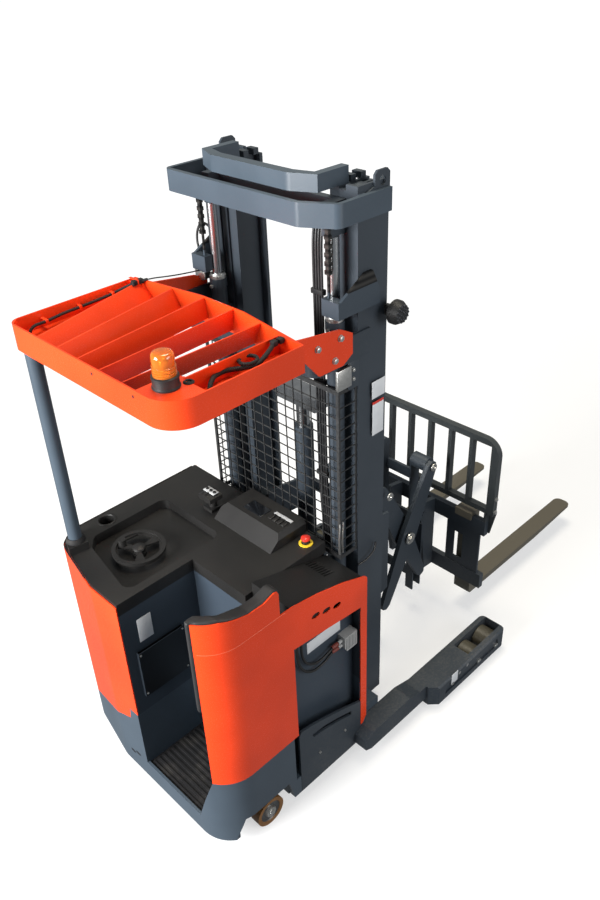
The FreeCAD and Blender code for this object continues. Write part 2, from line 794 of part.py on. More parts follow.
inner_panel = prism("inner_panel", "XY", [("loop", [
    (cover_wall, well_left), (well_deep, well_left), (well_deep, -column_y),
    (bay_rear, -column_y), (bay_rear, well_left + hull_wall), (cover_wall, well_left + hull_wall)])],
    cover_foot, console_low)
pad(inner_panel, "XY", [("rect", well_deep, bay_rear, -column_y, well_left)], skirt_top, cover_foot)
# storage pocket on the left wall, open at its top
pad(inner_panel, "XY", [("rect", pocket_x, pocket_x + pocket_len, well_left - pocket_t, well_left)],
    pocket_low, pocket_low + pocket_tall)
cut(inner_panel, "XY", [("rect", pocket_x + 4, pocket_x + pocket_len - 4,
                         well_left - pocket_t + 3, well_left - 1)],
    pocket_low + 6, pocket_low + pocket_tall + 1)
finish("inner_panel", inner_panel)

bulkhead = prism("front_bulkhead", "YZ", [("loop", [
    (cover_wall - half_wide, skirt_top), (well_left, skirt_top), (well_left, cover_foot),
    (notch_near, cover_foot), (notch_near + 9, cover_foot - notch_deep), (turn_y, cover_side),
    (half_wide - cover_wall, cover_side), (half_wide - cover_wall, console_low),
    (well_right + 50, console_low), (well_right + 50, console_low - 40),
    (cover_wall - half_wide, console_low - 40)])], bay_front, bay_front + hull_wall)
finish("front_bulkhead", bulkhead)

battery = prism("battery", "XY", [("rect", bay_rear + battery_end, bay_front - battery_end,
                                   -half_wide + battery_side, half_wide - battery_side)],
                bay_base, bay_base + battery_tall)
finish("battery", battery)

# the gate's upper edge arches, and its hand slot follows the arch
gate_rear = column_fore + 2
gate_fore = pillar_x - 2
gate_run = gate_fore - gate_rear


def gate_line(share, drop):
    """A point of the gate's upper edge, drop below it, at a share of the gate's length."""
    fall = gate_fall * (0.75 * share + 0.25 * share * share)
    return (gate_rear + gate_run * share, gate_high - fall - drop)


gate = prism("battery_gate", "XZ", [("loop", [
    (gate_rear, skirt_low), (gate_fore, skirt_low), gate_line(1, 0), gate_line(0.8, 0), gate_line(0.6, 0),
    gate_line(0.4, 0), gate_line(0.2, 0), (gate_rear + 14, gate_high - 8), (gate_rear, gate_high - 26)])],
    -half_wide, -bay_end - gap - gap)
cut(gate, "XZ", [("loop", [
    gate_line(0.2, 62), gate_line(0.4, 44), gate_line(0.6, 40), gate_line(0.84, 38),
    gate_line(0.84, 38 + gate_slot), gate_line(0.6, 40 + gate_slot), gate_line(0.4, 46 + gate_slot),
    gate_line(0.22, 56 + gate_slot)])], -half_wide - clear, -bay_end + clear)
finish("battery_gate", gate)

# console: a ledge round a sunk tray on the left, a pod ahead and a vented shoulder on the right
front_in = body_len - hull_wall
shoulder = well_right + 50
console = prism("console", "XY", [("loop", [
    (cover_wall + 1, well_left), (cover_wall + 1, flat_y), (turn_x + cover_wall + 1, turn_y - 3),
    (left_x + 3, half_wide - cover_wall - 1), (front_in, half_wide - cover_wall - 1),
    (front_in, shoulder), (well_deep, shoulder), (well_deep, well_left)])],
    console_low, console_top)
round_edges(console, "z", [(cover_wall + 1, flat_y), (turn_x + cover_wall + 1, turn_y - 3),
                           (left_x + 3, half_wide - cover_wall - 1)], turn_r - cover_wall)
tray_y = half_wide - tray_edge
tray_z = console_top - tray_deep
tray_end = tray_rear + tray_len
cut(console, "XY", [("loop", [(tray_rear, tray_r), (tray_rear + 60, tray_y - 60), (tray_rear + 110, tray_y),
                              (tray_end, tray_y), (tray_end, tray_r)])], tray_z, console_top + 1)
round_edges(console, "z", [(tray_rear, tray_r), (tray_rear + 60, tray_y - 60), (tray_rear + 110, tray_y),
                           (tray_end, tray_y), (tray_end, tray_r)], tray_r, (tray_z.value, console_top.value))
cut(console, "XY", [("round", cup_x, tray_y + tray_edge / 2, cup_r)],
    console_low + clear, console_top + 1)


def shoulder_z(x, drop):
    """Height of the shoulder's top at x, which runs drop below the side panel's edge."""
    return panel_top - panel_fall * (x - column_fore) / panel_run - drop


pad(console, "XZ", [("loop", [
    (column_fore, console_low - 40), (front_in, console_low - 40), (front_in, shoulder_z(front_in, 12)),
    (column_fore, shoulder_z(column_fore, 12))])], cover_wall + 1 - half_wide, shoulder)
vent_x = body_len - 150
vents = []
for k in range(8):
    y1 = shoulder - 12 - vent_step * k
    vents.append(("rect", y1 - vent_step / 2, y1, shoulder_z(vent_x, 30), console_top + 1))
cut(console, "YZ", vents, vent_x, vent_x + vent_wide)
pad(console, "XZ", [("loop", [
    (pod_x, console_top), (pod_x + 70, console_top + pod_tall), (front_in, console_top + pod_tall),
    (front_in, console_top)])], -pod_half - 70, pod_half)
bevel_edges(console, "x", [(-pod_half - 70, console_top + pod_tall), (pod_half, console_top + pod_tall)], 20)
pad(console, "XY", [("round", front_in - 64, -pod_half - 130, stop_r)], console_top, console_top + 26)
pad(console, "XY", [("loop", [
    (post_x - 58, post_y - 40), (post_x + 30, post_y - 52), (post_x + 62, post_y + 20),
    (post_x + 52, post_y + 74), (post_x + 10, post_y + 66), (post_x - 40, post_y + 10)])],
    console_top, console_top + boss_tall)
steer_x = tray_rear + 206
steer_y = tray_y - 202
boss_top = tray_z + 18
pad(console, "XY", [("round", steer_x, steer_y, 30)], tray_z, boss_top)
finish("console", console)

mat = prism("floor_mat", "XY", [("rect", hull_wall, well_deep, well_right, well_left)],
            floor_high, floor_high + mat_t)
ribs = []
for k in range(14):
    x0 = hull_wall + rib_step * (k + 0.4)
    ribs.append(("rect", x0, x0 + rib_step * 0.4, well_right + 10, well_left - 10))
pad(mat, "XY", ribs, floor_high + mat_t, floor_high + mat_t + rib_t)
finish("floor_mat", mat)

connector_x = pillar_x - clear - connector_len
connector = prism("battery_connector", "XZ", [("loop", [
    (connector_x, connector_z + connector_tall * 0.3), (connector_x + 14, connector_z),
    (connector_x + connector_len, connector_z), (connector_x + connector_len, connector_z + connector_tall),
    (connector_x, connector_z + connector_tall)])],
    battery_side - half_wide - connector_wide, battery_side - half_wide)
for k in range(2):
    z0 = connector_z + connector_tall * (0.42 + 0.3 * k)
    pad(connector, "YZ", [("round", battery_side - half_wide - connector_wide / 2, z0, cable_r + 3)],
        connector_x - 22, connector_x)
finish("battery_connector", connector)

# ---------------------------------------------------------------- drive unit and caster

mount = prism("drive_mount", "XY", [
    ("loop", [(hull_wall, well_left + hull_wall), (hull_wall, flat_y), (turn_x + 4, turn_y - 70),
              (well_deep - hull_wall, turn_y - 70), (well_deep - hull_wall, well_left + hull_wall)]),
    ("round", drive_x, drive_y, neck_r + gap)], mount_z, mount_z + mount_t)
finish("drive_mount", mount)

yoke = new_body("drive_unit")
spin(yoke, "XZ", [(0, mount_z - gap - 34), (neck_r + 45, mount_z - gap - 34),
                  (neck_r + 45, mount_z - gap), (neck_r, mount_z - gap),
                  (neck_r, mount_z + mount_t + gap), (motor_r, mount_z + mount_t + gap),
                  (motor_r, mount_z + mount_t + motor_tall), (0, mount_z + mount_t + motor_tall)],
     (drive_x, drive_y, 0))
leg_gap = drive_w / 2 + clear
pad(yoke, "XZ", [("loop", [(-60, drive_r - 40), (-30, drive_r - 62), (30, drive_r - 62), (60, drive_r - 40),
                           (60, mount_z - gap - 34), (-60, mount_z - gap - 34)])],
    leg_gap, leg_gap + 40)
pad(yoke, "XZ", [("round", 0, drive_r, stub_r)], -drive_w / 2 + 20, leg_gap)
finish("drive_unit", yoke)

drive_wheel = new_body("drive_wheel")
spin(drive_wheel, "XY", [(stub_r + gap, -drive_w / 2), (drive_r, -drive_w / 2), (drive_r, drive_w / 2),
                         (stub_r + gap, drive_w / 2)], (drive_x, drive_y, drive_r))
finish("drive_wheel", drive_wheel)

# one-sided caster: its leg stands inboard, so the wheel's hub shows in the hull's arch
wheel_in = caster_w / 2 - caster_off
caster_fork = new_body("caster_fork")
spin(caster_fork, "XZ", [(0, caster_plate - gap - 14), (swivel_r, caster_plate - gap - 14),
                         (swivel_r, caster_plate - gap), (stem_r, caster_plate - gap),
                         (stem_r, plate_top + 14), (0, plate_top + 14)], (caster_x, caster_y, 0))
leg_near = wheel_in + clear
pad(caster_fork, "XZ", [("loop", [
    (-22, caster_plate - gap - 14), (22, caster_plate - gap - 14), (caster_trail + 24, caster_r + 6),
    (caster_trail + 18, caster_r - 18), (caster_trail, caster_r - 26), (caster_trail - 18, caster_r - 18),
    (caster_trail - 24, caster_r + 6)])], leg_near, leg_near + fork_side)
pad(caster_fork, "XZ", [("round", caster_trail, caster_r, caster_pin)],
    -caster_w / 2 - caster_off + 4, leg_near)
finish("caster_fork", caster_fork)

caster_wheel = new_body("caster_wheel")
spin(caster_wheel, "XY", [(caster_pin + gap, -caster_w / 2), (caster_r * 0.36, -caster_w / 2),
                          (caster_r * 0.36, 8 - caster_w / 2), (caster_r * 0.68, 8 - caster_w / 2),
                          (caster_r * 0.76, -caster_w / 2), (caster_r, -caster_w / 2),
                          (caster_r, caster_w / 2), (caster_pin + gap, caster_w / 2)],
     (caster_x + caster_trail, caster_y - caster_off, caster_r))
finish("caster_wheel", caster_wheel)

# ---------------------------------------------------------------- straddle legs

slot_half = wheel_w / 2 + clear
for side in (1, -1):
    word = "left" if side > 0 else "right"
    leg = new_body("straddle_leg_" + word)
    lo, hi = pair(side, leg_in, leg_arm)
    pad(leg, "XZ", [("loop", [
        (leg_rear, arm_low + 20), (leg_rear + 40, arm_low), (leg_step, arm_low), (leg_step, leg_top),
        (leg_step - 50, leg_top), (leg_step - 130, leg_top + leg_ridge), (leg_rear + 50, leg_top + leg_ridge),
        (leg_rear, leg_top - 5)])], lo, hi)
    lo, hi = pair(side, leg_in, leg_out)
    pad(leg, "XY", [("rect", leg_step, leg_tip, lo, hi)], leg_low, leg_top)
    bevel_edges(leg, "z", [(leg_step, signed(side, leg_out))], leg_bevel)
    round_edges(leg, "z", [(leg_tip, signed(side, leg_out)), (leg_tip, signed(side, leg_in))],
                leg_round)
    bevel_edges(leg, "x", [(signed(side, leg_out), leg_top)], 9)
    # the rear stretch laps the hull from outside, so its inner part is cut away there
    lo, hi = pair(side, leg_in - clear, half_wide + gap)
    cut(leg, "XY", [("rect", leg_rear - clear, body_len + gap, lo, hi)], leg_low - clear, leg_top + 40)
    # side recess along the wide part, and a top slot for the two rollers
    lo, hi = pair(side, leg_out - leg_recess, leg_out + clear)
    cut(leg, "XZ", [("loop", [(leg_step + 90, leg_low + 34), (leg_tip - 60, leg_low + 34),
                              (leg_tip - 74, leg_top - 34), (leg_step + 104, leg_top - 34)])], lo, hi)
    lo, hi = pair(side, slot_y - slot_half, slot_y + slot_half)
    cut(leg, "XY", [("rect", wheel_a - wheel_r - clear, wheel_b + wheel_r + clear, lo, hi)],
        leg_low - clear, leg_top + clear)
    lo, hi = pair(side, slot_y - slot_half - 1, slot_y + slot_half + 1)
    for wx in (wheel_a, wheel_b):
        pad(leg, "XZ", [("round", wx, wheel_r, axle_r)], lo, hi)
    finish("straddle_leg_" + word, leg)
    for wx, tag in ((wheel_a, "rear"), (wheel_b, "front")):
        wheel = new_body("load_wheel_" + word + "_" + tag)
        spin(wheel, "XY", [(axle_r + gap, -wheel_w / 2), (wheel_r, -wheel_w / 2),
                           (wheel_r, wheel_w / 2), (axle_r + gap, wheel_w / 2)],
             (wx, signed(side, slot_y), wheel_r))
        finish("load_wheel_" + word + "_" + tag, wheel)

base = prism("base_frame", "XZ", [("loop", [
    (body_len + gap, arm_low), (rail_rear, arm_low), (rail_rear, beam_top), (rail_rear - 30, beam_top),
    (body_len + gap + 30, beam_top), (body_len + gap, beam_top - 30)])], -leg_in, leg_in)
finish("base_frame", base)

# ---------------------------------------------------------------- mast

outer_roll = rail_deep / 2 - flange - gap
car_roll = outer_roll - 2
hole_x = rail_front - 47
for side in (1, -1):
    word = "left" if side > 0 else "right"
    f = signed(side, rail_out)
    outer = prism("outer_rail_" + word, "XY", [("loop", [
        (rail_rear, f), (rail_front, f), (rail_front, signed(side, rail_out - outer_deep)),
        (rail_front - flange, signed(side, rail_out - outer_deep)),
        (rail_front - flange, signed(side, rail_out - web)), (rail_rear + flange, signed(side, rail_out - web)),
        (rail_rear + flange, signed(side, rail_out - outer_deep)),
        (rail_rear, signed(side, rail_out - outer_deep))])], rail_low, rail_top)
    lo, hi = pair(side, mid_out - web + gap, rail_out - web)
    pad(outer, "XZ", [("round", (rail_rear + rail_front) / 2 + mid_ahead, rail_top - 80, outer_roll)],
        lo, hi)
    # lifting eye: a plate on the rail's outer face, with a round hole
    lo, hi = pair(side, rail_out, rail_out + 10)
    pad(outer, "XZ", [("loop", [
        (rail_rear + 30, rail_top - 92), (rail_front - 4, rail_top - 92), (hole_x + 40, rail_top - 50),
        (hole_x + 40, rail_top + 24), (hole_x + 26, rail_top + 38), (hole_x - 26, rail_top + 38),
        (hole_x - 40, rail_top + 24), (hole_x - 40, rail_top - 12), (rail_rear + 30, rail_top - 30)]),
        ("round", hole_x, rail_top, 17)], lo, hi)
    finish("outer_rail_" + word, outer)
    m0 = signed(side, mid_out)
    m1 = signed(side, mid_out - mid_wide)
    ma = rail_rear + mid_ahead
    mb = rail_front + mid_ahead
    mid = prism("middle_rail_" + word, "XY", [("loop", [
        (ma, m0), (ma + flange, m0), (ma + flange, signed(side, mid_out - web)),
        (mb - flange, signed(side, mid_out - web)), (mb - flange, m0), (mb, m0), (mb, m1),
        (mb - flange, m1), (mb - flange, signed(side, mid_out - mid_wide + mid_groove)),
        (ma + flange, signed(side, mid_out - mid_wide + mid_groove)), (ma + flange, m1), (ma, m1)])],
        mid_low, mid_top)
    lo, hi = pair(side, mid_out - web, rail_out - web - gap)
    pad(mid, "XZ", [("round", (rail_rear + rail_front) / 2, mid_low + mast_roll, outer_roll)], lo, hi)
    lo, hi = pair(side, in_out + gap, mid_out - mid_wide + mid_groove)
    pad(mid, "XZ", [("rect", (ma + mb) / 2 - 35, (ma + mb) / 2 + 35, mid_top - 90, mid_top)], lo, hi)
    finish("middle_rail_" + word, mid)
    n0 = signed(side, in_out)
    n1 = signed(side, in_clear)
    na = rail_rear + in_ahead
    nb = rail_front + in_ahead - 4
    inner = prism("inner_rail_" + word, "XY", [("loop", [
        (na, n0), (nb, n0), (nb, n1), (nb - flange, n1), (nb - flange, signed(side, in_out - web)),
        (na + flange, signed(side, in_out - web)), (na + flange, n1), (na, n1)])], in_low, in_top)
    lo, hi = pair(side, in_out, mid_out - mid_wide + mid_groove - gap)
    pad(inner, "XZ", [("round", (ma + mb) / 2, in_low + mast_roll, outer_roll)], lo, hi)
    # two crossed bars cap the rail
    lo, hi = pair(side, in_clear, in_out)
    pad(inner, "XY", [("rect", na + 62, na + 88, lo, hi), ("rect", nb - 46, nb - 20, lo, hi)],
        in_top, in_top + 24)
    finish("inner_rail_" + word, inner)

# tie bar behind the rails' heads: a bent flat bar, its left corner round and its right corner long
tie = prism("outer_tie", "XY", [("loop", [
    (rail_front - 15, tie_half), (tie_back, tie_half), (tie_back, -tie_kink),
    (tie_back + tie_turn, -tie_half), (rail_front - 15, -tie_half), (rail_front - 15, -rail_out - 10),
    (tie_back + tie_turn + 12, -rail_out - 10), (tie_back + tie_deep, -tie_kink + 6),
    (tie_back + tie_deep, rail_out + 10), (rail_front - 15, rail_out + 10)])], tie_low, tie_top)
round_edges(tie, "z", [(tie_back, tie_half), (tie_back, -tie_kink), (tie_back + tie_turn, -tie_half)],
            tie_corner)
for side in (1, -1):
    lo, hi = pair(side, rail_out, rail_out + 10)
    pad(tie, "XY", [("rect", rail_rear, rail_rear + 30, lo, hi)], tie_low, tie_top)
finish("outer_tie", tie)

guard_yoke = prism("guard_yoke", "XY", [("loop", [
    (rail_rear + 60, rail_out), (rail_rear + 60, rail_out + yoke_wall),
    (yoke_back, rail_out + yoke_wall), (yoke_back, -rail_out - yoke_wall),
    (rail_rear + 60, -rail_out - yoke_wall), (rail_rear + 60, -rail_out),
    (yoke_back + yoke_wall, -rail_out), (yoke_back + yoke_wall, rail_out)])], yoke_low, yoke_top)
round_edges(guard_yoke, "z", [(yoke_back, rail_out + yoke_wall), (yoke_back, -rail_out - yoke_wall)], 44)
round_edges(guard_yoke, "z", [(yoke_back + yoke_wall, rail_out), (yoke_back + yoke_wall, -rail_out)],
            44 - yoke_wall)
finish("guard_yoke", guard_yoke)

low_cross = prism("lower_cross", "XY", [("rect", rail_rear - cross_t, rail_rear, -rail_out, rail_out)],
                  cross_low, cross_low + cross_tall)
finish("lower_cross", low_cross)

barrels = new_body("lift_barrels")
for side in (1, -1):
    pad(barrels, "XY", [("round", cyl_x, signed(side, cyl_y), cyl_r)], beam_top, cyl_top)
    pad(barrels, "XY", [("round", cyl_x, signed(side, cyl_y), gland_r)], cyl_top - gland_tall, cyl_top)
    # a clip holds each barrel to the rail behind it
    lo, hi = pair(side, cyl_y - 14, cyl_y + 30)
    pad(barrels, "XY", [("rect", cyl_x, rail_rear, lo, hi)], cyl_top - 150, cyl_top - 130)
pad(barrels, "XY", [("rect", cyl_x - 20, cyl_x + 20, -cyl_y, cyl_y)], beam_top, beam_top + 30)
for side in (1, -1):
    cut(barrels, "XY", [("round", cyl_x, signed(side, cyl_y), rod_r + gap)],
        cyl_top - lift_stroke - rod_left - 20, cyl_top + 1)
finish("lift_barrels", barrels)

# middle mast head: a cross bar with lugs that the two lift rods push
head_x = rail_rear + mid_ahead
head = prism("middle_head", "XY", [("loop", [
    (head_x, -mid_out), (head_x, mid_out), (cyl_x - 26, mid_out), (cyl_x - 26, cyl_y - 32),
    (head_x - 30, cyl_y - 32), (head_x - 30, 32 - cyl_y), (cyl_x - 26, 32 - cyl_y),
    (cyl_x - 26, -mid_out)])], head_low, head_top)
finish("middle_head", head)
rods = new_body("lift_rods")
pad(rods, "XY", [("round", cyl_x, cyl_y, rod_r), ("round", cyl_x, -cyl_y, rod_r)],
    cyl_top - lift_stroke - rod_left, head_low)
finish("lift_rods", rods)

# leaf chains with the bars that anchor them to the outer rails
chain_x = cyl_x - cyl_r - clear - chain_t
chain_low = yoke_top + 150
chain_foot = chain_low + 90
chains = new_body("lift_chains")
for side in (1, -1):
    # a bar behind the lift rod and a plate on the rail's outer face
    lo, hi = pair(side, cyl_y - 4, rail_out + 12)
    pad(chains, "XY", [("rect", chain_x - 12, chain_x + chain_t + 12, lo, hi)], chain_low - 66, chain_low)
    lo, hi = pair(side, rail_out, rail_out + 12)
    pad(chains, "XZ", [("loop", [
        (chain_x, chain_low - 66), (rail_rear + 110, chain_low - 66), (rail_rear + 110, chain_low - 10),
        (rail_rear + 70, chain_low + 74), (rail_rear + 30, chain_low + 74), (chain_x, chain_low)])], lo, hi)
    lo, hi = pair(side, cyl_y + 8, cyl_y + 8 + chain_wide)
    pad(chains, "XY", [("rect", chain_x, chain_x + chain_t, lo, hi)], chain_foot, head_top - 20)
    pad(chains, "XY", [("rect", chain_x + 3, chain_x + chain_t - 3, lo + 4, hi - 4)], chain_low, chain_foot)
    # every second row of links is broader
    rows = []
    for k in range(7):
        z0 = chain_foot + chain_pitch * k
        rows.append(("rect", lo - 3, hi + 3, z0, z0 + chain_pitch * 0.5))
    pad(chains, "YZ", rows, chain_x - 2, chain_x + chain_t + 2)
finish("lift_chains", chains)

bow_end = rail_rear + in_ahead
bow = prism("inner_bow", "XY", [("loop", [
    (bow_end + 50, in_out), (bow_side, in_out), (bow_back, bow_kink), (bow_back, -bow_kink),
    (bow_side, -in_out), (bow_end + 50, -in_out), (bow_end + 50, -in_clear - 10),
    (bow_side + bow_deep / 2, -in_clear - 10), (bow_back + bow_deep, -bow_kink + 12),
    (bow_back + bow_deep, bow_kink - 12), (bow_side + bow_deep / 2, in_clear + 10),
    (bow_end + 50, in_clear + 10)])], in_top, in_top + bow_tall)
round_edges(bow, "z", [(bow_back, bow_kink), (bow_back, -bow_kink)], 60)
finish("inner_bow", bow)

free_barrel = prism("free_lift_barrel", "XY", [("round", free_x, 0, free_r)], foot_top, free_top)
pad(free_barrel, "XY", [("rect", free_x - 50, free_x + 50, web - in_out, in_out - web)],
    foot_low, foot_top)
cut(free_barrel, "XY", [("round", free_x, 0, free_rod + gap)], free_top - free_in - 90, free_top + 1)
finish("free_lift_barrel", free_barrel)

free_top_block = prism("free_lift_head", "XY", [("round", free_x, 0, free_rod)],
                       free_top - free_in, free_top + free_head)
pad(free_top_block, "XY", [("rect", free_x - 45, free_x + 45, -120, 120)],
    free_top + free_head, free_top + free_head + 65)
finish("free_lift_head", free_top_block)

# ---------------------------------------------------------------- mast carriage and pantograph

car_out = in_clear - clear
carriage = new_body("mast_carriage")
for side in (1, -1):
    lo, hi = pair(side, car_out - car_plate, car_out)
    pad(carriage, "XZ", [("loop", [
        (car_rear, car_low), (car_rear + 110, car_low), (car_front, car_low + 60),
        (car_front, car_high - 40), (car_rear + 110, car_high), (car_rear, car_high)])], lo, hi)
    cut(carriage, "XZ", [("loop", [
        (car_rear + 120, car_low + 190), (car_front - 60, car_low + 210), (car_front - 60, car_high - 200),
        (car_rear + 120, car_high - 180)])], lo - 1, hi + 1)
for z0 in (car_low + 90, car_high - 130):
    pad(carriage, "YZ", [("rect", -car_out, car_out, z0, z0 + 60)], car_front - 16, car_front)
for z0 in (car_low + 50, car_high - 60):
    for side in (1, -1):
        lo, hi = pair(side, car_out, in_out - web - gap)
        pad(carriage, "XZ", [("round", (rail_rear + rail_front - 4) / 2 + in_ahead, z0, car_roll)], lo, hi)
finish("mast_carriage", carriage)

reach_frame = new_body("reach_rear_frame")
front_frame = new_body("reach_front_frame")
half_chan = roller_r + chan_wall + 1
for body, px in ((reach_frame, arm_x), (front_frame, front_x)):
    for side in (1, -1):
        lo, hi = pair(side, chan_in, chan_in + chan_wall)
        pad(body, "XZ", [("loop", [
            (px - half_chan, chan_low), (px + half_chan, chan_low), (px + half_chan, arm_z + 10),
            (px + 14, arm_z + lug_r), (px - 14, arm_z + lug_r), (px - half_chan, arm_z + 10)])], lo, hi)
        lo, hi = pair(side, chan_in, chan_out)
        pad(body, "XY", [("rect", px - half_chan, px - roller_r - 1, lo, hi),
                         ("rect", px + roller_r + 1, px + half_chan, lo, hi)], chan_low, chan_low + 430)
for z0 in (chan_low + 200, chan_low + 560, chan_low + 760):
    pad(reach_frame, "YZ", [("rect", -chan_in - 4, chan_in + 4, z0, z0 + 60)],
        arm_x - half_chan, arm_x - half_chan + 16)
for side in (1, -1):
    lo, hi = pair(side, chan_in, chan_out)
    pad(reach_frame, "XY", [("rect", car_front, arm_x - 30, lo, hi)], car_low + 80, car_high - 60)
    pad(reach_frame, "XZ", [("round", arm_x, arm_z, lug_r)], lo, hi)
    lo, hi = pair(side, chan_in, arm_y_out - gap)
    pad(front_frame, "XZ", [("round", front_x, arm_z, lug_r)], lo, hi)
    lo, hi = pair(side, chan_in, arm_y_in + arm_t)
    pad(reach_frame, "XZ", [("round", arm_x, arm_z, pin_r)], lo, hi)
    lo, hi = pair(side, chan_in, arm_y_out + arm_t)
    pad(front_frame, "XZ", [("round", front_x, arm_z, pin_r)], lo, hi)
finish("reach_rear_frame", reach_frame)
for side in (1, -1):
    lo, hi = pair(side, chan_in - 30, chan_in)
    pad(front_frame, "XZ", [("loop", [
        (front_x + 20, tilt_z - 50), (tilt_x, tilt_z - 26), (tilt_x + 26, tilt_z), (tilt_x, tilt_z + 26),
        (front_x + 20, tilt_z + 50)])], lo, hi)
    lo, hi = pair(side, chan_in, chan_in + clear + 30)
    pad(front_frame, "XZ", [("round", tilt_x, tilt_z, tilt_pin)], lo, hi)
for z0 in (chan_low + 30, chan_low + 420, chan_low + 700):
    pad(front_frame, "YZ", [("rect", -chan_in - 4, chan_in + 4, z0, z0 + 60)],
        front_x + half_chan - 16, front_x + half_chan)
finish("reach_front_frame", front_frame)

mid_x = arm_x + arm_reach / 2
mid_z = (arm_z + low_z) / 2
arm_fall = arm_z - low_z
arm_long = math.hypot(num(arm_reach), num(arm_fall))


def along(share, out, toward):
    """A point beside an arm: share of its length below the top pivot and out to one side.

    toward is 1 for the arm whose top pivot is at the rear and -1 for its partner.
    """
    x0 = arm_x if toward > 0 else front_x
    return (x0 + (arm_reach * share + arm_fall * (out / arm_long)) * toward,
            arm_z - arm_fall * share + arm_reach * (out / arm_long))


def arm_outline(toward, top, low):
    """An arm between two pivots: top and low are its half depths at the ends, deepest between."""
    lip = 26 / arm_long
    return [along(-lip, -top * 0.45, toward), along(-lip, top * 0.45, toward), along(0, top, toward),
            along(0.3, arm_deep * 0.9, toward), along(0.5, arm_deep, toward),
            along(0.72, arm_deep * 0.8, toward), along(1, low, toward),
            along(1 + lip, low * 0.45, toward), along(1 + lip, -low * 0.45, toward), along(1, -low, toward),
            along(0.72, -arm_deep * 0.72, toward), along(0.5, -arm_deep, toward),
            along(0.3, -arm_deep * 0.9, toward), along(0, -top, toward)]


outer_arms = new_body("outer_arms")
inner_arms = new_body("inner_arms")
for side in (1, -1):
    lo, hi = pair(side, arm_y_out, arm_y_out + arm_t)
    pad(outer_arms, "XZ", [("loop", arm_outline(-1, arm_end + 6, arm_end))], lo, hi)
    cut(outer_arms, "XZ", [("round", front_x, arm_z, pin_r + gap)], lo - 1, hi + 1)
    lo, hi = pair(side, arm_y_in, arm_y_in + arm_t)
    pad(inner_arms, "XZ", [("loop", arm_outline(1, arm_end, arm_end))], lo, hi)
    cut(inner_arms, "XZ", [("round", arm_x, arm_z, pin_r + gap)], lo - 1, hi + 1)
pad(inner_arms, "XZ", [("round", mid_x, mid_z, mid_tube)], -arm_y_in, arm_y_in)
for side in (1, -1):
    lo, hi = pair(side, chan_in + chan_wall + gap, arm_y_out)
    pad(outer_arms, "XZ", [("round", arm_x, low_z, roller_r - 8)], lo, hi)
    lo, hi = pair(side, chan_in + chan_wall + gap, arm_y_in)
    pad(inner_arms, "XZ", [("round", front_x, low_z, roller_r - 8)], lo, hi)
    lo, hi = pair(side, chan_in + chan_wall + gap, chan_out)
    pad(outer_arms, "XZ", [("round", arm_x, low_z, roller_r)], lo, hi)
    pad(inner_arms, "XZ", [("round", front_x, low_z, roller_r)], lo, hi)
    lo, hi = pair(side, arm_y_in + arm_t, arm_y_out + arm_t + 8)
    pad(inner_arms, "XZ", [("round", mid_x, mid_z, pin_r + 5)], lo, hi)
    lo, hi = pair(side, arm_y_out - 1, arm_y_out + arm_t + 9)
    cut(outer_arms, "XZ", [("round", mid_x, mid_z, pin_r + 5 + gap)], lo, hi)
finish("outer_arms", outer_arms)
finish("inner_arms", inner_arms)

# ---------------------------------------------------------------- forks, bars and load backrest

fork_frame = new_body("fork_carriage")
for z0 in (bar_low, bar_high):
    pad(fork_frame, "YZ", [("rect", -bar_half, bar_half, z0, z0 + bar_tall)], bar_x, bar_x + bar_t)
for side in (1, -1):
    lo, hi = pair(side, chan_in + clear, chan_in + clear + 26)
    pad(fork_frame, "XZ", [("loop", [
        (bar_x - 70, bar_low + 6), (bar_x, bar_low), (bar_x, bar_high + bar_tall),
        (tilt_x, bar_high + bar_tall + 20), (tilt_x - 22, tilt_z + 20), (tilt_x - 22, tilt_z - 30)])], lo, hi)
    cut(fork_frame, "XZ", [("round", tilt_x, tilt_z, tilt_pin + gap)], lo - 1, hi + 1)
    lo, hi = pair(side, web_in, bar_half - 28)
    pad(fork_frame, "YZ", [("rect", lo, hi, bar_low + bar_tall, bar_high)], bar_x + 4, bar_x + 16)
    lo, hi = pair(side, web_in + 47, web_in + 107)
    cut(fork_frame, "YZ", [("rect", lo, hi, bar_low + bar_tall + 40, bar_high - 60)], bar_x, bar_x + 20)
finish("fork_carriage", fork_frame)

shank_x = bar_x + bar_t + gap
for side in (1, -1):
    word = "left" if side > 0 else "right"
    fy = signed(side, fork_y)
    fork = prism("fork_" + word, "XZ", [("loop", [
        (shank_x, fork_z - fork_thick), (fork_face + fork_len * 0.6, fork_z - fork_thick),
        (fork_face + fork_len, fork_z - fork_tip), (fork_face + fork_len, fork_z),
        (fork_face, fork_z), (fork_face, hook_top),
        (bar_x - gap - 12, hook_top), (bar_x - gap - 12, hook_z - 22), (bar_x - gap, hook_z - 22),
        (bar_x - gap, hook_z), (shank_x, hook_z)])],
        fy - fork_wide / 2, fy + fork_wide / 2)
    round_edges(fork, "y", [(shank_x, fork_z - fork_thick)], heel_r)
    round_edges(fork, "z", [(fork_face + fork_len, fy - fork_wide / 2),
                            (fork_face + fork_len, fy + fork_wide / 2)], fork_round)
    finish("fork_" + word, fork)

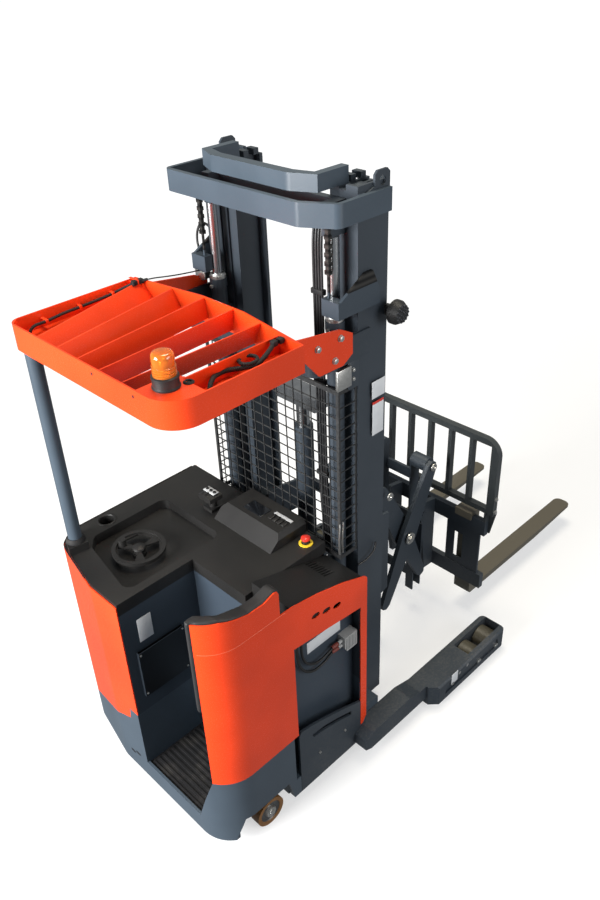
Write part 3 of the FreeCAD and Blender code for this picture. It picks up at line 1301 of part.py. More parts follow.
rest = new_body("load_backrest")
rest_x = bar_x + bar_t / 2
rest_foot = bar_high + bar_tall
pad(rest, "YZ", [("loop", [(-rest_half, rest_foot + 60), (rest_half, rest_foot + 60),
                           (rest_half, rest_top), (-rest_half, rest_top)])],
    rest_x - rest_r, rest_x + rest_r)
round_edges(rest, "x", [(-rest_half, rest_top), (rest_half, rest_top)], rest_round)
bay = (rest_half * 2 - rest_r * 4) / 7
for k in range(7):
    y0 = -rest_half + rest_r * 2 + bay * k
    cut(rest, "YZ", [("rect", y0 + rest_bar / 2, y0 + bay - rest_bar / 2,
                      rest_foot + 90, rest_top - rest_r * 2)], rest_x - rest_r - 1, rest_x + rest_r + 1)
for side in (1, -1):
    a, b, c = signed(side, bar_half - 12), signed(side, bar_half + 10), signed(side, rest_half)
    pad(rest, "YZ", [("loop", [(a, bar_high + 8), (b, bar_high + 8), (c, rest_foot + 60),
                               (a, rest_foot + 60)])], rest_x + bar_t / 2, rest_x + bar_t / 2 + 8)
    lo, hi = pair(side, bar_half - 12, bar_half)
    pad(rest, "YZ", [("rect", lo, hi, rest_foot, rest_foot + 60)], rest_x - rest_r, rest_x + bar_t / 2 + 8)
finish("load_backrest", rest)

# ---------------------------------------------------------------- overhead guard and controls

w = guard_wall
guard = prism("overhead_guard", "XY", [("loop", [
    (guard_rear, guard_half), (guard_front, guard_half), (guard_nose, guard_bowy),
    (guard_nose, -guard_bowy), (guard_front, -guard_half), (guard_rear, -guard_half)])],
    guard_low, guard_top)
round_edges(guard, "z", [(guard_rear, -guard_half)], guard_r_right)
round_edges(guard, "z", [(guard_rear, guard_half)], guard_r_left)
# the slats lean so that each one's plane passes near the operator's eye, and fan out ahead


def slat(k):
    """The rear and front y of a slat's top edge, its height, and how far its foot leans over."""
    tall = slat_tall + slat_grow * k
    fore = slat_fore_y - slat_fore_step * k
    return slat_rear_y - slat_rear_step * k, fore, tall, (fore - eye_y) * tall / eye_drop


def rim_x(y):
    """Where the line at y meets the inside of the front rim, which falls away past its middle."""
    away = y if num(y) > 0 else y * (-1)
    if num(away) < num(guard_bowy):
        return guard_nose - w
    return guard_front - w + guard_bow * (guard_half - away) / (guard_half - guard_bowy)


def loft(body, near, near_z, far, far_z):
    """Add the plate that joins an outline at near_z to another at far_z."""
    ends = []
    for outline, level in ((near, near_z), (far, far_z)):
        sk = new_sketch(body, "XY", level)
        fill(sk, [("loop", outline)])
        ends.append(sk)
    feat = body.newObject("PartDesign::AdditiveLoft", body.Name + "Loft")
    feat.Profile = ends[0]
    feat.Sections = [ends[1]]
    feat.Ruled = True
    for sk in ends:
        sk.Visibility = False
    doc.recompute()


# the inside is open but for a shallow channel down each side and a flat corner at the rear right
rear_y, fore_y, tall, lean = slat(0)
left_rear, left_fore = rear_y - lean - slat_t, fore_y - lean - slat_t
right_y = guard_chan * 2 - guard_half
cut(guard, "XY", [("loop", [
    (guard_rear + w, left_rear), (rim_x(left_fore), left_fore),
    (guard_nose - w, guard_bowy), (guard_nose - w, -guard_bowy),
    (rim_x(right_y), right_y), (guard_rear + 165, right_y),
    (guard_rear + 145, guard_chan * 2.8 - guard_half), (guard_rear + w, guard_chan * 2.8 - guard_half)])],
    guard_low, guard_top)
left_channel = ("loop", [
    (guard_rear + w, left_rear - 1), (rim_x(left_fore), left_fore - 1), (guard_front - w, guard_half - w),
    (guard_rear + w + 30, guard_half - w), (guard_rear + w, guard_half - w - 30)])
cut(guard, "XY", [left_channel, ("rect", guard_rear + 150, guard_front - w, w - guard_half, right_y - w)],
    guard_low + guard_floor + floor_t, guard_top)
cut(guard, "XY", [left_channel, ("rect", guard_rear + 150, guard_front - w, w - guard_half, right_y)],
    guard_low, guard_low + guard_floor)
for k in range(5):
    rear_y, fore_y, tall, lean = slat(k)
    outlines = []
    for shift in (0, lean):
        back, ahead = rear_y - shift, fore_y - shift
        outlines.append([(guard_rear + w - 1, back - slat_t), (rim_x(ahead) + 3, ahead - slat_t),
                         (rim_x(ahead) + 3, ahead), (guard_rear + w - 1, back)])
    loft(guard, outlines[0], guard_top - 4, outlines[1], guard_top - 4 - tall)
# a gusset on each side ties the rim to the mast's yoke
gusset_x = guard_front + (guard_half - rail_out - yoke_wall) * guard_bow / (guard_half - guard_bowy)
for side in (1, -1):
    lo, hi = pair(side, rail_out + yoke_wall, rail_out + yoke_wall + gusset_t)
    pad(guard, "XZ", [("loop", [
        (gusset_x - 2, guard_top - 12), (rail_rear - 110, guard_top - 50), (rail_rear - 48, guard_top - 84),
        (rail_rear - 48, yoke_low + 40), (rail_rear - 100, yoke_low + 8),
        (yoke_back + 19, yoke_low + 11), (gusset_x + 44, guard_low), (gusset_x - 2, guard_low)])], lo, hi)
finish("overhead_guard", guard)

post = prism("guard_post", "XY", [("round", post_x, post_y, post_r)], console_top + boss_tall, guard_low)
finish("guard_post", post)

beacon = new_body("beacon")
spin(beacon, "XZ", [(0, 0), (beacon_r, 0), (beacon_r, beacon_tall * 0.34),
                    (beacon_r * 0.86, beacon_tall * 0.36), (beacon_r * 0.86, beacon_tall),
                    (0, beacon_tall)], (guard_rear + 84, guard_chan * 1.9 - guard_half, guard_top))
finish("beacon", beacon)

wheel_ring = new_body("steering_wheel")
spin(wheel_ring, "XZ", [(0, gap), (26, gap), (26, 10), (steer_r, 10), (steer_r, 26), (steer_r - 18, 26),
                        (steer_r - 18, 18), (0, 18)], (steer_x, steer_y, boss_top))


def ring_point(radius, turn):
    return (radius * math.cos(turn), radius * math.sin(turn))


# three windows leave three spokes
cut(wheel_ring, "XY", [("loop", [
    ring_point(30, t), ring_point(steer_r - 24, t), ring_point(steer_r - 19, t + 0.8),
    ring_point(steer_r - 24, t + 1.6), ring_point(30, t + 1.6)]) for t in (0.2, 2.3, 4.4)], 9, 27)
knob_x, knob_y = ring_point(steer_r * 0.65, 2.1)
pad(wheel_ring, "XY", [("round", knob_x, knob_y, 17)], 17, 52)
finish("steering_wheel", wheel_ring)

handle = prism("control_handle", "XY", [("rect", handle_x - 34, handle_x + 34, handle_y - 30, handle_y + 30)],
               console_top, console_top + 16)
pad(handle, "XY", [("round", handle_x, handle_y, handle_r)], console_top + 16, console_top + 70)
pad(handle, "YZ", [("loop", [(handle_y - 42, console_top + 62), (handle_y + 42, console_top + 62),
                             (handle_y + 42, console_top + 84), (handle_y + 20, console_top + 96),
                             (handle_y - 20, console_top + 96), (handle_y - 42, console_top + 84)])],
    handle_x - 46, handle_x + 26)
finish("control_handle", handle)

# welded mesh: a panel behind the mast and a wing from each of its edges to the rail
screen = new_body("mesh_screen")
panel_half = mesh_half - wire - gap
row_gap = 0.1
rows = []
z0 = mesh_low + mesh_step
while num(z0) < num(mesh_high) - 30:
    rows.append(z0)
    z0 = z0 + mesh_step
uprights = []
y0 = mesh_step - panel_half
while num(y0) < num(panel_half) - 20:
    uprights.append(("rect", y0 - wire / 2, y0 + wire / 2, mesh_low + mesh_rim, mesh_high - mesh_rim))
    y0 = y0 + mesh_step
pad(screen, "YZ", [("rect", -panel_half, panel_half, mesh_low, mesh_high),
                   ("rect", mesh_rim / 2 - panel_half, panel_half - mesh_rim / 2,
                    mesh_low + mesh_rim, mesh_high - mesh_rim)], mesh_x, mesh_x + wire * 2 + row_gap)
pad(screen, "YZ", uprights, mesh_x, mesh_x + wire)
pad(screen, "YZ", [("rect", -panel_half + 2, panel_half - 2, z - wire / 2, z + wire / 2) for z in rows],
    mesh_x + wire + row_gap, mesh_x + wire * 2 + row_gap)
for side in (1, -1):
    lo, hi = pair(side, mesh_half - wire, mesh_half)
    pad(screen, "XZ", [("rect", mesh_x, rail_rear, mesh_low, mesh_high),
                       ("rect", mesh_x + mesh_rim / 2, rail_rear - mesh_rim / 2,
                        mesh_low + mesh_rim, mesh_high - mesh_rim)], lo, hi)
    pad(screen, "XZ", [("rect", mesh_x + 2, rail_rear - 2, z - wire / 2, z + wire / 2) for z in rows], lo, hi)
finish("mesh_screen", screen)

lamp = new_body("work_lamp")
spin(lamp, "XY", [(0, -20), (36, -20), (48, 2), (48, 20), (0, 20)],
     (rail_front - 5, -rail_out - 62, yoke_low + 145))
pad(lamp, "XY", [("rect", -10, 10, 20, 62)], -20, 20)
finish("work_lamp", lamp)

# ---------------------------------------------------------------- battery cables


def tube(name, pts, y, radius):
    """A cable along straight runs joined by tangent arcs, all in one plane across the truck."""
    spots = [Vec(num(p[0]), num(y), num(p[1])) for p in pts]
    edges = []
    start = spots[0]
    bends = []
    for i in range(1, len(spots) - 1):
        a, b, c = spots[i - 1], spots[i], spots[i + 1]
        u = (a - b).normalize()
        v = (c - b).normalize()
        run = min((a - b).Length, (c - b).Length)
        half = (math.pi - u.getAngle(v)) / 2
        reach = run * 0.45
        bends.append(round(reach / math.tan(half), 1))
        p = b + u * reach
        q = b + v * reach
        m = b + (u + v).normalize() * (reach / math.sin(half) - reach / math.tan(half))
        edges.append(Part.LineSegment(start, p).toShape())
        edges.append(Part.Arc(p, m, q).toShape())
        start = q
    edges.append(Part.LineSegment(start, spots[-1]).toShape())
    path = Part.Wire(edges)
    ring = Part.Wire(Part.makeCircle(num(radius), spots[0], spots[1] - spots[0]))
    solid = path.makePipeShell([ring], True, True)
    want = math.pi * num(radius) ** 2 * path.Length
    if abs(solid.Volume - want) > want * 0.01:
        raise RuntimeError(name + " is not a whole tube")
    obj = doc.addObject("Part::Feature", clean(name))
    obj.Shape = solid
    obj_x[obj.Name] = 0
    finish(name, obj)
    print(name, "length", round(path.Length), "bend radii", bends)


cable_y = battery_side - half_wide - connector_wide / 2
cable_end = connector_x - 22
low_plug = connector_z + connector_tall * 0.42
high_plug = connector_z + connector_tall * 0.72
cable_x = column_fore + 56
tube("battery_cable_low", [
    (cable_x, console_low - 40), (cable_x, low_plug + 240), (cable_x - 8, low_plug + 160),
    (cable_x - 2, low_plug + 82), (cable_x + 28, low_plug + 14), (cable_x + 82, low_plug - 28),
    (cable_x + 148, low_plug - 26), (cable_x + 200, low_plug), (cable_end, low_plug)], cable_y, cable_r)
tube("battery_cable_high", [
    (cable_x + 24, console_low - 40), (cable_x + 24, high_plug + 212), (cable_x + 18, high_plug + 138),
    (cable_x + 24, high_plug + 66), (cable_x + 56, high_plug + 8), (cable_x + 112, high_plug - 22),
    (cable_x + 170, high_plug - 14), (cable_x + 214, high_plug), (cable_end, high_plug)], cable_y, cable_r)

# ---------------------------------------------------------------- checks and export

doc.recompute()
faults = []
for obj in doc.Objects:
    if "Invalid" in obj.State or "Error" in obj.State:
        faults.append(obj.Name + " " + str(obj.State))
for name, obj in finished.items():
    if obj.Shape.isNull() or not obj.Shape.isValid():
        faults.append(name + " has no valid shape")
if faults:
    raise RuntimeError("; ".join(faults))
os.makedirs("parts", exist_ok=True)
for name, obj in finished.items():
    obj.Shape.exportStep("parts/" + name + ".step")
print(len(finished), "sub-parts,", round(total.value), "mm long")
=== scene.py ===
# A stand-up reach truck.  The CAD nodes give the frame; this script gives every surface its
# finish and adds the fittings, hoses, padding and cables that are fixed to them.
# Lengths are metres.  +X runs from the operator's well to the fork tips, +Y is the truck's left.

import json
import math

import bmesh
import bpy
from mathutils import Matrix, Vector


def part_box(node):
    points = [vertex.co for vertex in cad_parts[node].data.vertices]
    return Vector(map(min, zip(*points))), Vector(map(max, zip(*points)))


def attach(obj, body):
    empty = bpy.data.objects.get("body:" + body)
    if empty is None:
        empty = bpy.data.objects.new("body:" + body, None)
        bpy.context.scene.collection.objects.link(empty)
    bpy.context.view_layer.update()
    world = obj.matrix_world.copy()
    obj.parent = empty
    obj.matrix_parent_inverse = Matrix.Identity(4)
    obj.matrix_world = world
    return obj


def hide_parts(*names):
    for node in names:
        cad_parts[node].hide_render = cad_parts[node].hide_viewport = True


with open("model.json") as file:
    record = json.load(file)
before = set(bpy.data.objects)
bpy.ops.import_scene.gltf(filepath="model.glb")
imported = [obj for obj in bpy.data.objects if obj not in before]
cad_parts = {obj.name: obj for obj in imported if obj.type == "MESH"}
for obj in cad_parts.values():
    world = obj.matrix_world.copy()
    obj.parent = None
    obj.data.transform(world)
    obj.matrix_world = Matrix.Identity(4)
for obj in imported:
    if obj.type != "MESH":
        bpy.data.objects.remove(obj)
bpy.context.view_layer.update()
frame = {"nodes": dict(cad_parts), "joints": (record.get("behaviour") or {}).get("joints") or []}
nodes = frame["nodes"]

# ---------------------------------------------------------------- hull, legs and frame
# The hull is a box of thick welded plate with two straddle legs bolted along its sides.
# It is sprayed a slate blue with a fine orange peel, and dust gathers low down.  The legs
# are a darker copy of the slate, whose darkness is painted shade.


class Level:
    """A socket of a material that takes part in sums: each operation adds a Math node."""

    def __init__(self, finish, socket):
        self.finish = finish
        self.socket = socket

    def sum(self, operation, first, second):
        return self.finish.node("ShaderNodeMath", {"operation": operation}, {0: first, 1: second})

    def __add__(self, other):
        return self.sum("ADD", self, other)

    def __radd__(self, other):
        return self.sum("ADD", other, self)

    def __sub__(self, other):
        return self.sum("SUBTRACT", self, other)

    def __rsub__(self, other):
        return self.sum("SUBTRACT", other, self)

    def __mul__(self, other):
        return self.sum("MULTIPLY", self, other)

    def __rmul__(self, other):
        return self.sum("MULTIPLY", other, self)


class Finish:
    """One procedural material, built up from sums of levels."""

    def __init__(self, name, plain={}):
        self.material = bpy.data.materials.new(name)
        self.material.use_nodes = True
        self.tree = self.material.node_tree
        self.shader = self.tree.nodes["Principled BSDF"]
        self.place = self.node("ShaderNodeTexCoord", out="Object")
        for key, value in plain.items():
            self.shader.inputs[key].default_value = value

    def node(self, kind, settings={}, inputs={}, out=0):
        made = self.tree.nodes.new(kind)
        for key, value in settings.items():
            setattr(made, key, value)
        for key, value in inputs.items():
            if isinstance(value, Level):
                self.tree.links.new(value.socket, made.inputs[key])
            else:
                made.inputs[key].default_value = value
        return Level(self, made.outputs[out])

    def noise(self, scale, detail=2.0, stretch=(1, 1, 1)):
        """Cloudy variation; scale is the number of spots in a metre."""
        place = self.node("ShaderNodeMapping", {}, {"Vector": self.place, "Scale": stretch})
        return self.node("ShaderNodeTexNoise", {}, {"Vector": place, "Scale": scale, "Detail": detail})

    def between(self, level, low, high):
        """0 below low, 1 above high, and a smooth ramp between them."""
        return self.node("ShaderNodeMapRange", {"interpolation_type": "SMOOTHSTEP"},
                         {"Value": level, "From Min": low, "From Max": high})

    def band(self, level, low, high, blur=0.001):
        """1 between low and high, 0 outside them; each end is a ramp blur wide."""
        enter = self.between(level, low - blur / 2, low + blur / 2)
        leave = self.between(level, high - blur / 2, high + blur / 2)
        return enter * (1.0 - leave)

    def along(self, axis):
        """One coordinate of the place on the piece, in metres."""
        return self.node("ShaderNodeSeparateXYZ", {}, {0: self.place}, out=axis)

    def from_axis(self, centre, weights):
        """Distance from a line through centre, such as an axle, where each coordinate counts
        by its weight: 0 along the line itself, and less than 1 to draw the circle out."""
        near = self.node("ShaderNodeVectorMath", {"operation": "SUBTRACT"}, {0: self.place, 1: centre})
        flat = self.node("ShaderNodeVectorMath", {"operation": "MULTIPLY"}, {0: near, 1: weights})
        return self.node("ShaderNodeVectorMath", {"operation": "LENGTH"}, {0: flat}, out="Value")

    def mix(self, share, first, second):
        """The first colour where share is 0, and the second where it is 1."""
        return self.node("ShaderNodeMix", {"data_type": "RGBA"}, {0: share, 6: first, 7: second}, out=2)

    def give(self, name, level):
        """Drive one input of the shader."""
        self.tree.links.new(level.socket, self.shader.inputs[name])

    def bump(self, height, distance):
        """Raise the surface by distance metres where height is 1."""
        self.give("Normal", self.node("ShaderNodeBump", {}, {"Strength": 1.0, "Distance": distance,
                                                             "Height": height}))


def rgb(red, green, blue):
    return (red, green, blue, 1.0)


def sprayed(name, colour, gloss=0.33, dust=0.2, peel=0.00006):
    """Sprayed paint on steel plate: slight change of tone, orange peel, dust near the floor."""
    paint = Finish(name, {"Specular IOR Level": 0.5})
    clouds = paint.noise(2.2, 3.0)
    specks = paint.noise(90.0, 4.0)
    skin = paint.noise(420.0, 1.0)
    low = 1.0 - paint.between(paint.along("Z"), 0.05, 0.55)
    grime = paint.between(specks * 0.6 + clouds * 0.6, 0.5, 0.85) * (low * 0.8 + 0.2) * dust
    deep = rgb(*[c * 0.86 for c in colour])
    pale = rgb(*[min(1.0, c * 1.1) for c in colour])
    tone = paint.mix(paint.between(clouds, 0.3, 0.7), deep, pale)
    paint.give("Base Color", paint.mix(grime, tone, rgb(0.17, 0.155, 0.135)))
    paint.give("Roughness", gloss + skin * 0.05 + grime * 0.35)
    paint.bump(skin, peel)
    return paint.material


def dress(material, *names):
    """Give CAD nodes a finish in place of the plain one that they came with."""
    for name in names:
        mesh = nodes[name].data
        mesh.materials.clear()
        mesh.materials.append(material)


def roll_edges(width, *names):
    """Round the sharp edges of CAD nodes, as ground and painted plate has them."""
    for name in names:
        edge = nodes[name].modifiers.new("rolled edges", "BEVEL")
        edge.width = width
        edge.segments = 2
        edge.limit_method = "ANGLE"
        edge.angle_limit = math.radians(40)
        edge.harden_normals = True


slate = sprayed("slate paint", (0.056, 0.076, 0.098))
# a darker copy of the slate paint: its darkness is painted shade on the parts that it dresses
shadow_slate = sprayed("slate paint darkened as painted shade", (0.030, 0.040, 0.052), gloss=0.42, dust=0.35)
dress(slate, "guard_post", "outer_tie", "inner_bow", "base_frame", "lower_cross")
dress(shadow_slate, "straddle_leg_left", "straddle_leg_right", "front_bulkhead", "drive_mount")
# the battery's gate faces away from the light, and the darker copy on it is painted shade
dress(shadow_slate, "battery_gate")
roll_edges(0.004, "outer_tie", "inner_bow")
roll_edges(0.0025, "straddle_leg_left", "straddle_leg_right", "battery_gate", "base_frame")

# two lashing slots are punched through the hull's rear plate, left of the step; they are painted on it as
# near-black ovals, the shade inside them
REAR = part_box("hull")[0].x
slot_radius = 0.0083
slot_stretch = 0.42
slot_depth = 0.0025
punched = Finish("slate paint with painted slot shade", {"Specular IOR Level": 0.5})
clouds = punched.noise(2.2, 3.0)
skin = punched.noise(420.0, 1.0)
clear_of_slot_shade = 1.0
for y, z in ((0.112, 0.160), (0.070, 0.176)):
    far_from = punched.from_axis((REAR, y, z), (0, slot_stretch, 1))
    clear_of_slot_shade = punched.between(far_from, slot_radius - 0.0003, slot_radius + 0.0003) * clear_of_slot_shade
behind = punched.between(punched.along("X"), REAR + slot_depth - 0.0005, REAR + slot_depth + 0.0005)
paint_not_slot_shade = 1.0 - (1.0 - clear_of_slot_shade) * (1.0 - behind)
tone = punched.mix(punched.between(clouds, 0.3, 0.7), rgb(0.048, 0.065, 0.084), rgb(0.062, 0.084, 0.108))
# inside the slots' outlines the plate is painted near black, as the shade in them
punched.give("Base Color", punched.mix(paint_not_slot_shade, rgb(0.004, 0.004, 0.005), tone))
punched.give("Roughness", 0.33 + skin * 0.05)
punched.bump(skin, 0.00006)
dress(punched.material, "hull")

# ---------------------------------------------------------------- fasteners
# Zinc-plated hexagon bolts on washers hold the battery's gate, and turned plugs close the
# bores of the legs over their bolts and axles.  Each group of fasteners in this file is one
# piece, so that it moves with the body that it is fixed to.

zinc = Finish("zinc plating", {"Metallic": 1.0})
patina = zinc.noise(160.0, 3.0)
zinc.give("Base Color", zinc.mix(patina, rgb(0.48, 0.47, 0.44), rgb(0.72, 0.71, 0.68)))
zinc.give("Roughness", 0.24 + patina * 0.3)
zinc = zinc.material


def facing(point, normal):
    """A place whose own Z axis points along normal."""
    return Matrix.Translation(point) @ Vector(normal).to_track_quat("Z", "Y").to_matrix().to_4x4()


def drum(bm, point, normal, radius, depth, top=None, sides=24):
    """A round or many-sided stub that stands on point along normal."""
    middle = Vector(point) + Vector(normal).normalized() * (depth / 2)
    bmesh.ops.create_cone(bm, cap_ends=True, segments=sides, radius1=radius,
                          radius2=radius if top is None else top, depth=depth,
                          matrix=facing(middle, normal))


def block(bm, low, high, edge=0.0):
    """A box between two corners with softly rounded edges."""
    low, high = Vector(low), Vector(high)
    place = Matrix.Translation((low + high) / 2) @ Matrix.Diagonal((*(high - low), 1))
    made = bmesh.ops.create_cube(bm, size=1, matrix=place)["verts"]
    if edge:
        edges = list({e for v in made for e in v.link_edges})
        bmesh.ops.bevel(bm, geom=edges, offset=edge, offset_type="OFFSET", segments=2, profile=0.5,
                        affect="EDGES", material=-1, clamp_overlap=True)


def lathe(bm, centre, axis, outline, steps=40):
    """Spin an outline of (radius, height) pairs round an axis through centre."""
    place = facing(centre, axis)
    verts = [bm.verts.new(place @ Vector((r, 0, h))) for r, h in outline]
    edges = [bm.edges.new(pair) for pair in zip(verts, verts[1:])]
    bmesh.ops.spin(bm, geom=verts + edges, cent=centre, axis=axis, dvec=(0, 0, 0),
                   angle=math.tau, steps=steps, use_merge=True, use_duplicate=False)
    bmesh.ops.remove_doubles(bm, verts=bm.verts, dist=1e-6)


def piece(name, bm, material, body, crease=35):
    """Turn a bmesh into a finished piece that rides on a body."""
    bmesh.ops.recalc_face_normals(bm, faces=bm.faces)
    for face in bm.faces:
        face.smooth = True
    mesh = bpy.data.meshes.new(name)
    bm.to_mesh(mesh)
    bm.free()
    mesh.set_sharp_from_angle(angle=math.radians(crease))
    mesh.materials.append(material)
    obj = bpy.data.objects.new(name, mesh)
    bpy.context.scene.collection.objects.link(obj)
    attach(obj, body)
    return obj


def bolt(bm, point, normal, across):
    """A washer, a hexagon head and the slight dome on it; across is the head's width."""
    out = Vector(normal).normalized()
    drum(bm, point, out, across * 0.62, across * 0.1, sides=20)
    drum(bm, Vector(point) + out * across * 0.1, out, across * 0.56, across * 0.36, across * 0.56, sides=6)
    drum(bm, Vector(point) + out * across * 0.46, out, across * 0.44, across * 0.06, across * 0.3, sides=18)


def at(x, y, z):
    """A point measured forward from the hull's rear face."""
    return Vector((REAR + x, y, z))


gate_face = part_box("battery_gate")[0].y
gate_bolt_z = 0.231
bm = bmesh.new()
for x in (0.722, 0.555):
    bolt(bm, at(x, gate_face, gate_bolt_z), (0, -1, 0), 0.011)
for side, hand in ((1, "left"), (-1, "right")):
    leg_low, leg_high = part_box("straddle_leg_" + hand)
    edge = leg_high.y if side > 0 else leg_low.y
    for x, z in ((0.345, 0.128), (0.410, 0.122), (0.465, 0.086)):
        drum(bm, (leg_high.x - x, edge - side * 0.012, z), (0, side, 0), 0.011, 0.0122, 0.0095, 20)
    for place in ("rear", "front"):
        wheel_low, wheel_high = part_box("load_wheel_%s_%s" % (hand, place))
        axle = (wheel_low + wheel_high) / 2
        drum(bm, (axle.x, edge - side * 0.010, axle.z), (0, side, 0), 0.017, 0.0098, 0.015, 28)
piece("hull_bolts", bm, zinc, "chassis")

# ---------------------------------------------------------------- orange covers
# Pressed steel covers close the drive compartment, the rear column and the battery's side.
# They and the overhead guard share one vivid orange-red gloss coat.

orange = sprayed("orange paint", (0.86, 0.058, 0.009), gloss=0.24, dust=0.05, peel=0.00004)
dress(orange, "left_cover", "column_cover", "side_panel", "overhead_guard")
roll_edges(0.002, "left_cover", "side_panel", "overhead_guard")


def wall_point(name, origin, direction):
    """Where a ray meets the outside of a CAD node."""
    found, spot, _, _ = nodes[name].ray_cast(Vector(origin), Vector(direction).normalized())
    return spot if found else None


def strand(name, points, radius, material, body):
    """A round cable or hose along one smooth spline."""
    curve = bpy.data.curves.new(name, "CURVE")
    curve.dimensions = "3D"
    spline = curve.splines.new("NURBS")
    spline.points.add(len(points) - 1)
    for spot, point in zip(spline.points, points):
        spot.co = (*point, 1.0)
    spline.order_u = 3
    spline.use_endpoint_u = True
    curve.bevel_depth = radius
    curve.bevel_resolution = 5
    curve.resolution_u = 12
    curve.use_fill_caps = True
    curve.materials.append(material)
    obj = bpy.data.objects.new(name, curve)
    bpy.context.scene.collection.objects.link(obj)
    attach(obj, body)
    return obj


# the column's upper and lower halves meet in a pressed crease, level with the panel's shoulder, and a thin
# paler orange line is laid along it
crease_z = 1.197
column_radius = 0.172
turn_steps = 16
column_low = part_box("column_cover")[0]
corner = Vector((column_low.x + column_radius, column_low.y + column_radius, crease_z))
crease = []
for step in range(27):
    if step < turn_steps:
        turn = math.radians(180 + 6 * step)
        aim = Vector((math.cos(turn), math.sin(turn), 0))
        start = corner
    else:
        aim = Vector((0, -1, 0))
        start = corner + Vector((0.0185 * (step + 1 - turn_steps), 0, 0))
    spot = wall_point("column_cover", start + aim * 0.6, -aim)
    if spot:
        crease.append(spot - aim * 0.0002)
crease_paint = sprayed("paler crease line paint", (0.85, 0.16, 0.075), gloss=0.3, dust=0.0)
strand("column_crease", crease, 0.0011, crease_paint, "chassis")

# ---------------------------------------------------------------- column padding
# A skinned foam pad wraps the rear column's inner face and laps over its top edge, so that
# the operator can lean on it.  It is moulded, black and slightly soft.

skinned_foam = Finish("skinned foam", {"Specular IOR Level": 0.35})
grain = skinned_foam.noise(900.0, 2.0)
rub = skinned_foam.noise(9.0, 3.0)
skinned_foam.give("Base Color", skinned_foam.mix(rub, rgb(0.012, 0.012, 0.013), rgb(0.035, 0.034, 0.033)))
skinned_foam.give("Roughness", 0.42 + rub * 0.2)
skinned_foam.bump(grain, 0.00012)


def rounded_copy(node, name, voxel, passes):
    """A copy of a CAD node with every edge rolled over, as moulded foam has."""
    source = bmesh.new()
    source.from_mesh(nodes[node].data)
    bmesh.ops.remove_doubles(source, verts=source.verts, dist=1e-5)
    mesh = bpy.data.meshes.new(name)
    source.to_mesh(mesh)
    source.free()
    obj = bpy.data.objects.new(name, mesh)
    bpy.context.scene.collection.objects.link(obj)
    remesh = obj.modifiers.new("skin", "REMESH")
    remesh.mode = "VOXEL"
    remesh.voxel_size = voxel
    soften = obj.modifiers.new("soften", "SMOOTH")
    soften.factor = 0.5
    soften.iterations = passes
    done = bpy.data.meshes.new_from_object(obj.evaluated_get(bpy.context.evaluated_depsgraph_get()))
    obj.modifiers.clear()
    obj.data = done
    for face in done.polygons:
        face.use_smooth = True
    return obj


padding = rounded_copy("column_pad", "column_padding", 0.006, 6)
padding.data.materials.clear()
padding.data.materials.append(skinned_foam.material)
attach(padding, "chassis")
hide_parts("column_pad")

# ---------------------------------------------------------------- operator's well
# The operator stands on a ribbed rubber mat between painted inner panels.  A black document
# pocket and a blank white rating plate are screwed to the left wall.

rubber = Finish("black rubber", {"Specular IOR Level": 0.3})
scuff = rubber.noise(14.0, 5.0)
dirt = rubber.noise(220.0, 3.0)
rubber.give("Base Color", rubber.mix(rubber.between(scuff, 0.45, 0.75), rgb(0.009, 0.009, 0.010),
                                     rgb(0.026, 0.024, 0.022)))
rubber.give("Roughness", 0.55 + scuff * 0.25)
rubber.bump(dirt, 0.0002)
rubber = rubber.material
dress(rubber, "floor_mat")

# the battery's face looks away from the light; its darker blue than the hull's is painted shade
battery_shade_blue = sprayed("battery paint darkened as painted shade", (0.036, 0.050, 0.068), gloss=0.4, dust=0.3)
dress(battery_shade_blue, "battery")
pocket_low = Vector((REAR + 0.052, 0, 0.585))
pocket_high = Vector((REAR + 0.292, 0, 0.840))
lined = Finish("inner panel with black pocket", {"Specular IOR Level": 0.4})
soft = lined.noise(2.2, 3.0)
pocket = (lined.band(lined.along("X"), pocket_low.x, pocket_high.x)
          * lined.band(lined.along("Z"), pocket_low.z, pocket_high.z))
blue = lined.mix(soft, rgb(0.031, 0.043, 0.058), rgb(0.041, 0.056, 0.076))
lined.give("Base Color", lined.mix(pocket, blue, rgb(0.007, 0.007, 0.008)))
lined.give("Roughness", 0.42 - pocket * 0.14 + soft * 0.06)
dress(lined.material, "inner_panel")

white_plate = Finish("blank white plate", {"Specular IOR Level": 0.5})
fade = white_plate.noise(30.0, 3.0)
white_plate.give("Base Color", white_plate.mix(fade, rgb(0.62, 0.64, 0.66), rgb(0.78, 0.79, 0.80)))
white_plate.give("Roughness", 0.3 + fade * 0.2)
white_plate = white_plate.material

panel_plate = 0.012
wall_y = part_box("inner_panel")[1].y - panel_plate
battery_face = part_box("battery")[0].y
leg_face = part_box("straddle_leg_right")[0].y
bm = bmesh.new()
block(bm, at(0.080, wall_y - 0.0015, 0.883), at(0.150, wall_y, 1.008), 0.0006)
block(bm, at(0.560, battery_face - 0.0013, 0.806), at(0.762, battery_face, 0.868), 0.0004)
block(bm, at(1.382, leg_face - 0.0002, 0.088), at(1.434, leg_face + 0.0008, 0.158), 0.0003)
piece("rating_plates", bm, white_plate, "chassis")

pocket_depth = 0.016
bm = bmesh.new()
for x in (0.062, 0.282):
    for z in (0.828, 0.600):
        bolt(bm, at(x, wall_y - pocket_depth, z), (0, -1, 0), 0.008)
piece("pocket_screws", bm, zinc, "chassis")

# ---------------------------------------------------------------- console and controls
# The console is a textured black moulding with a sunk tray and a cup hole.  It carries the
# steering wheel, the control handle, a blank display, rocker switches and a red stop button.

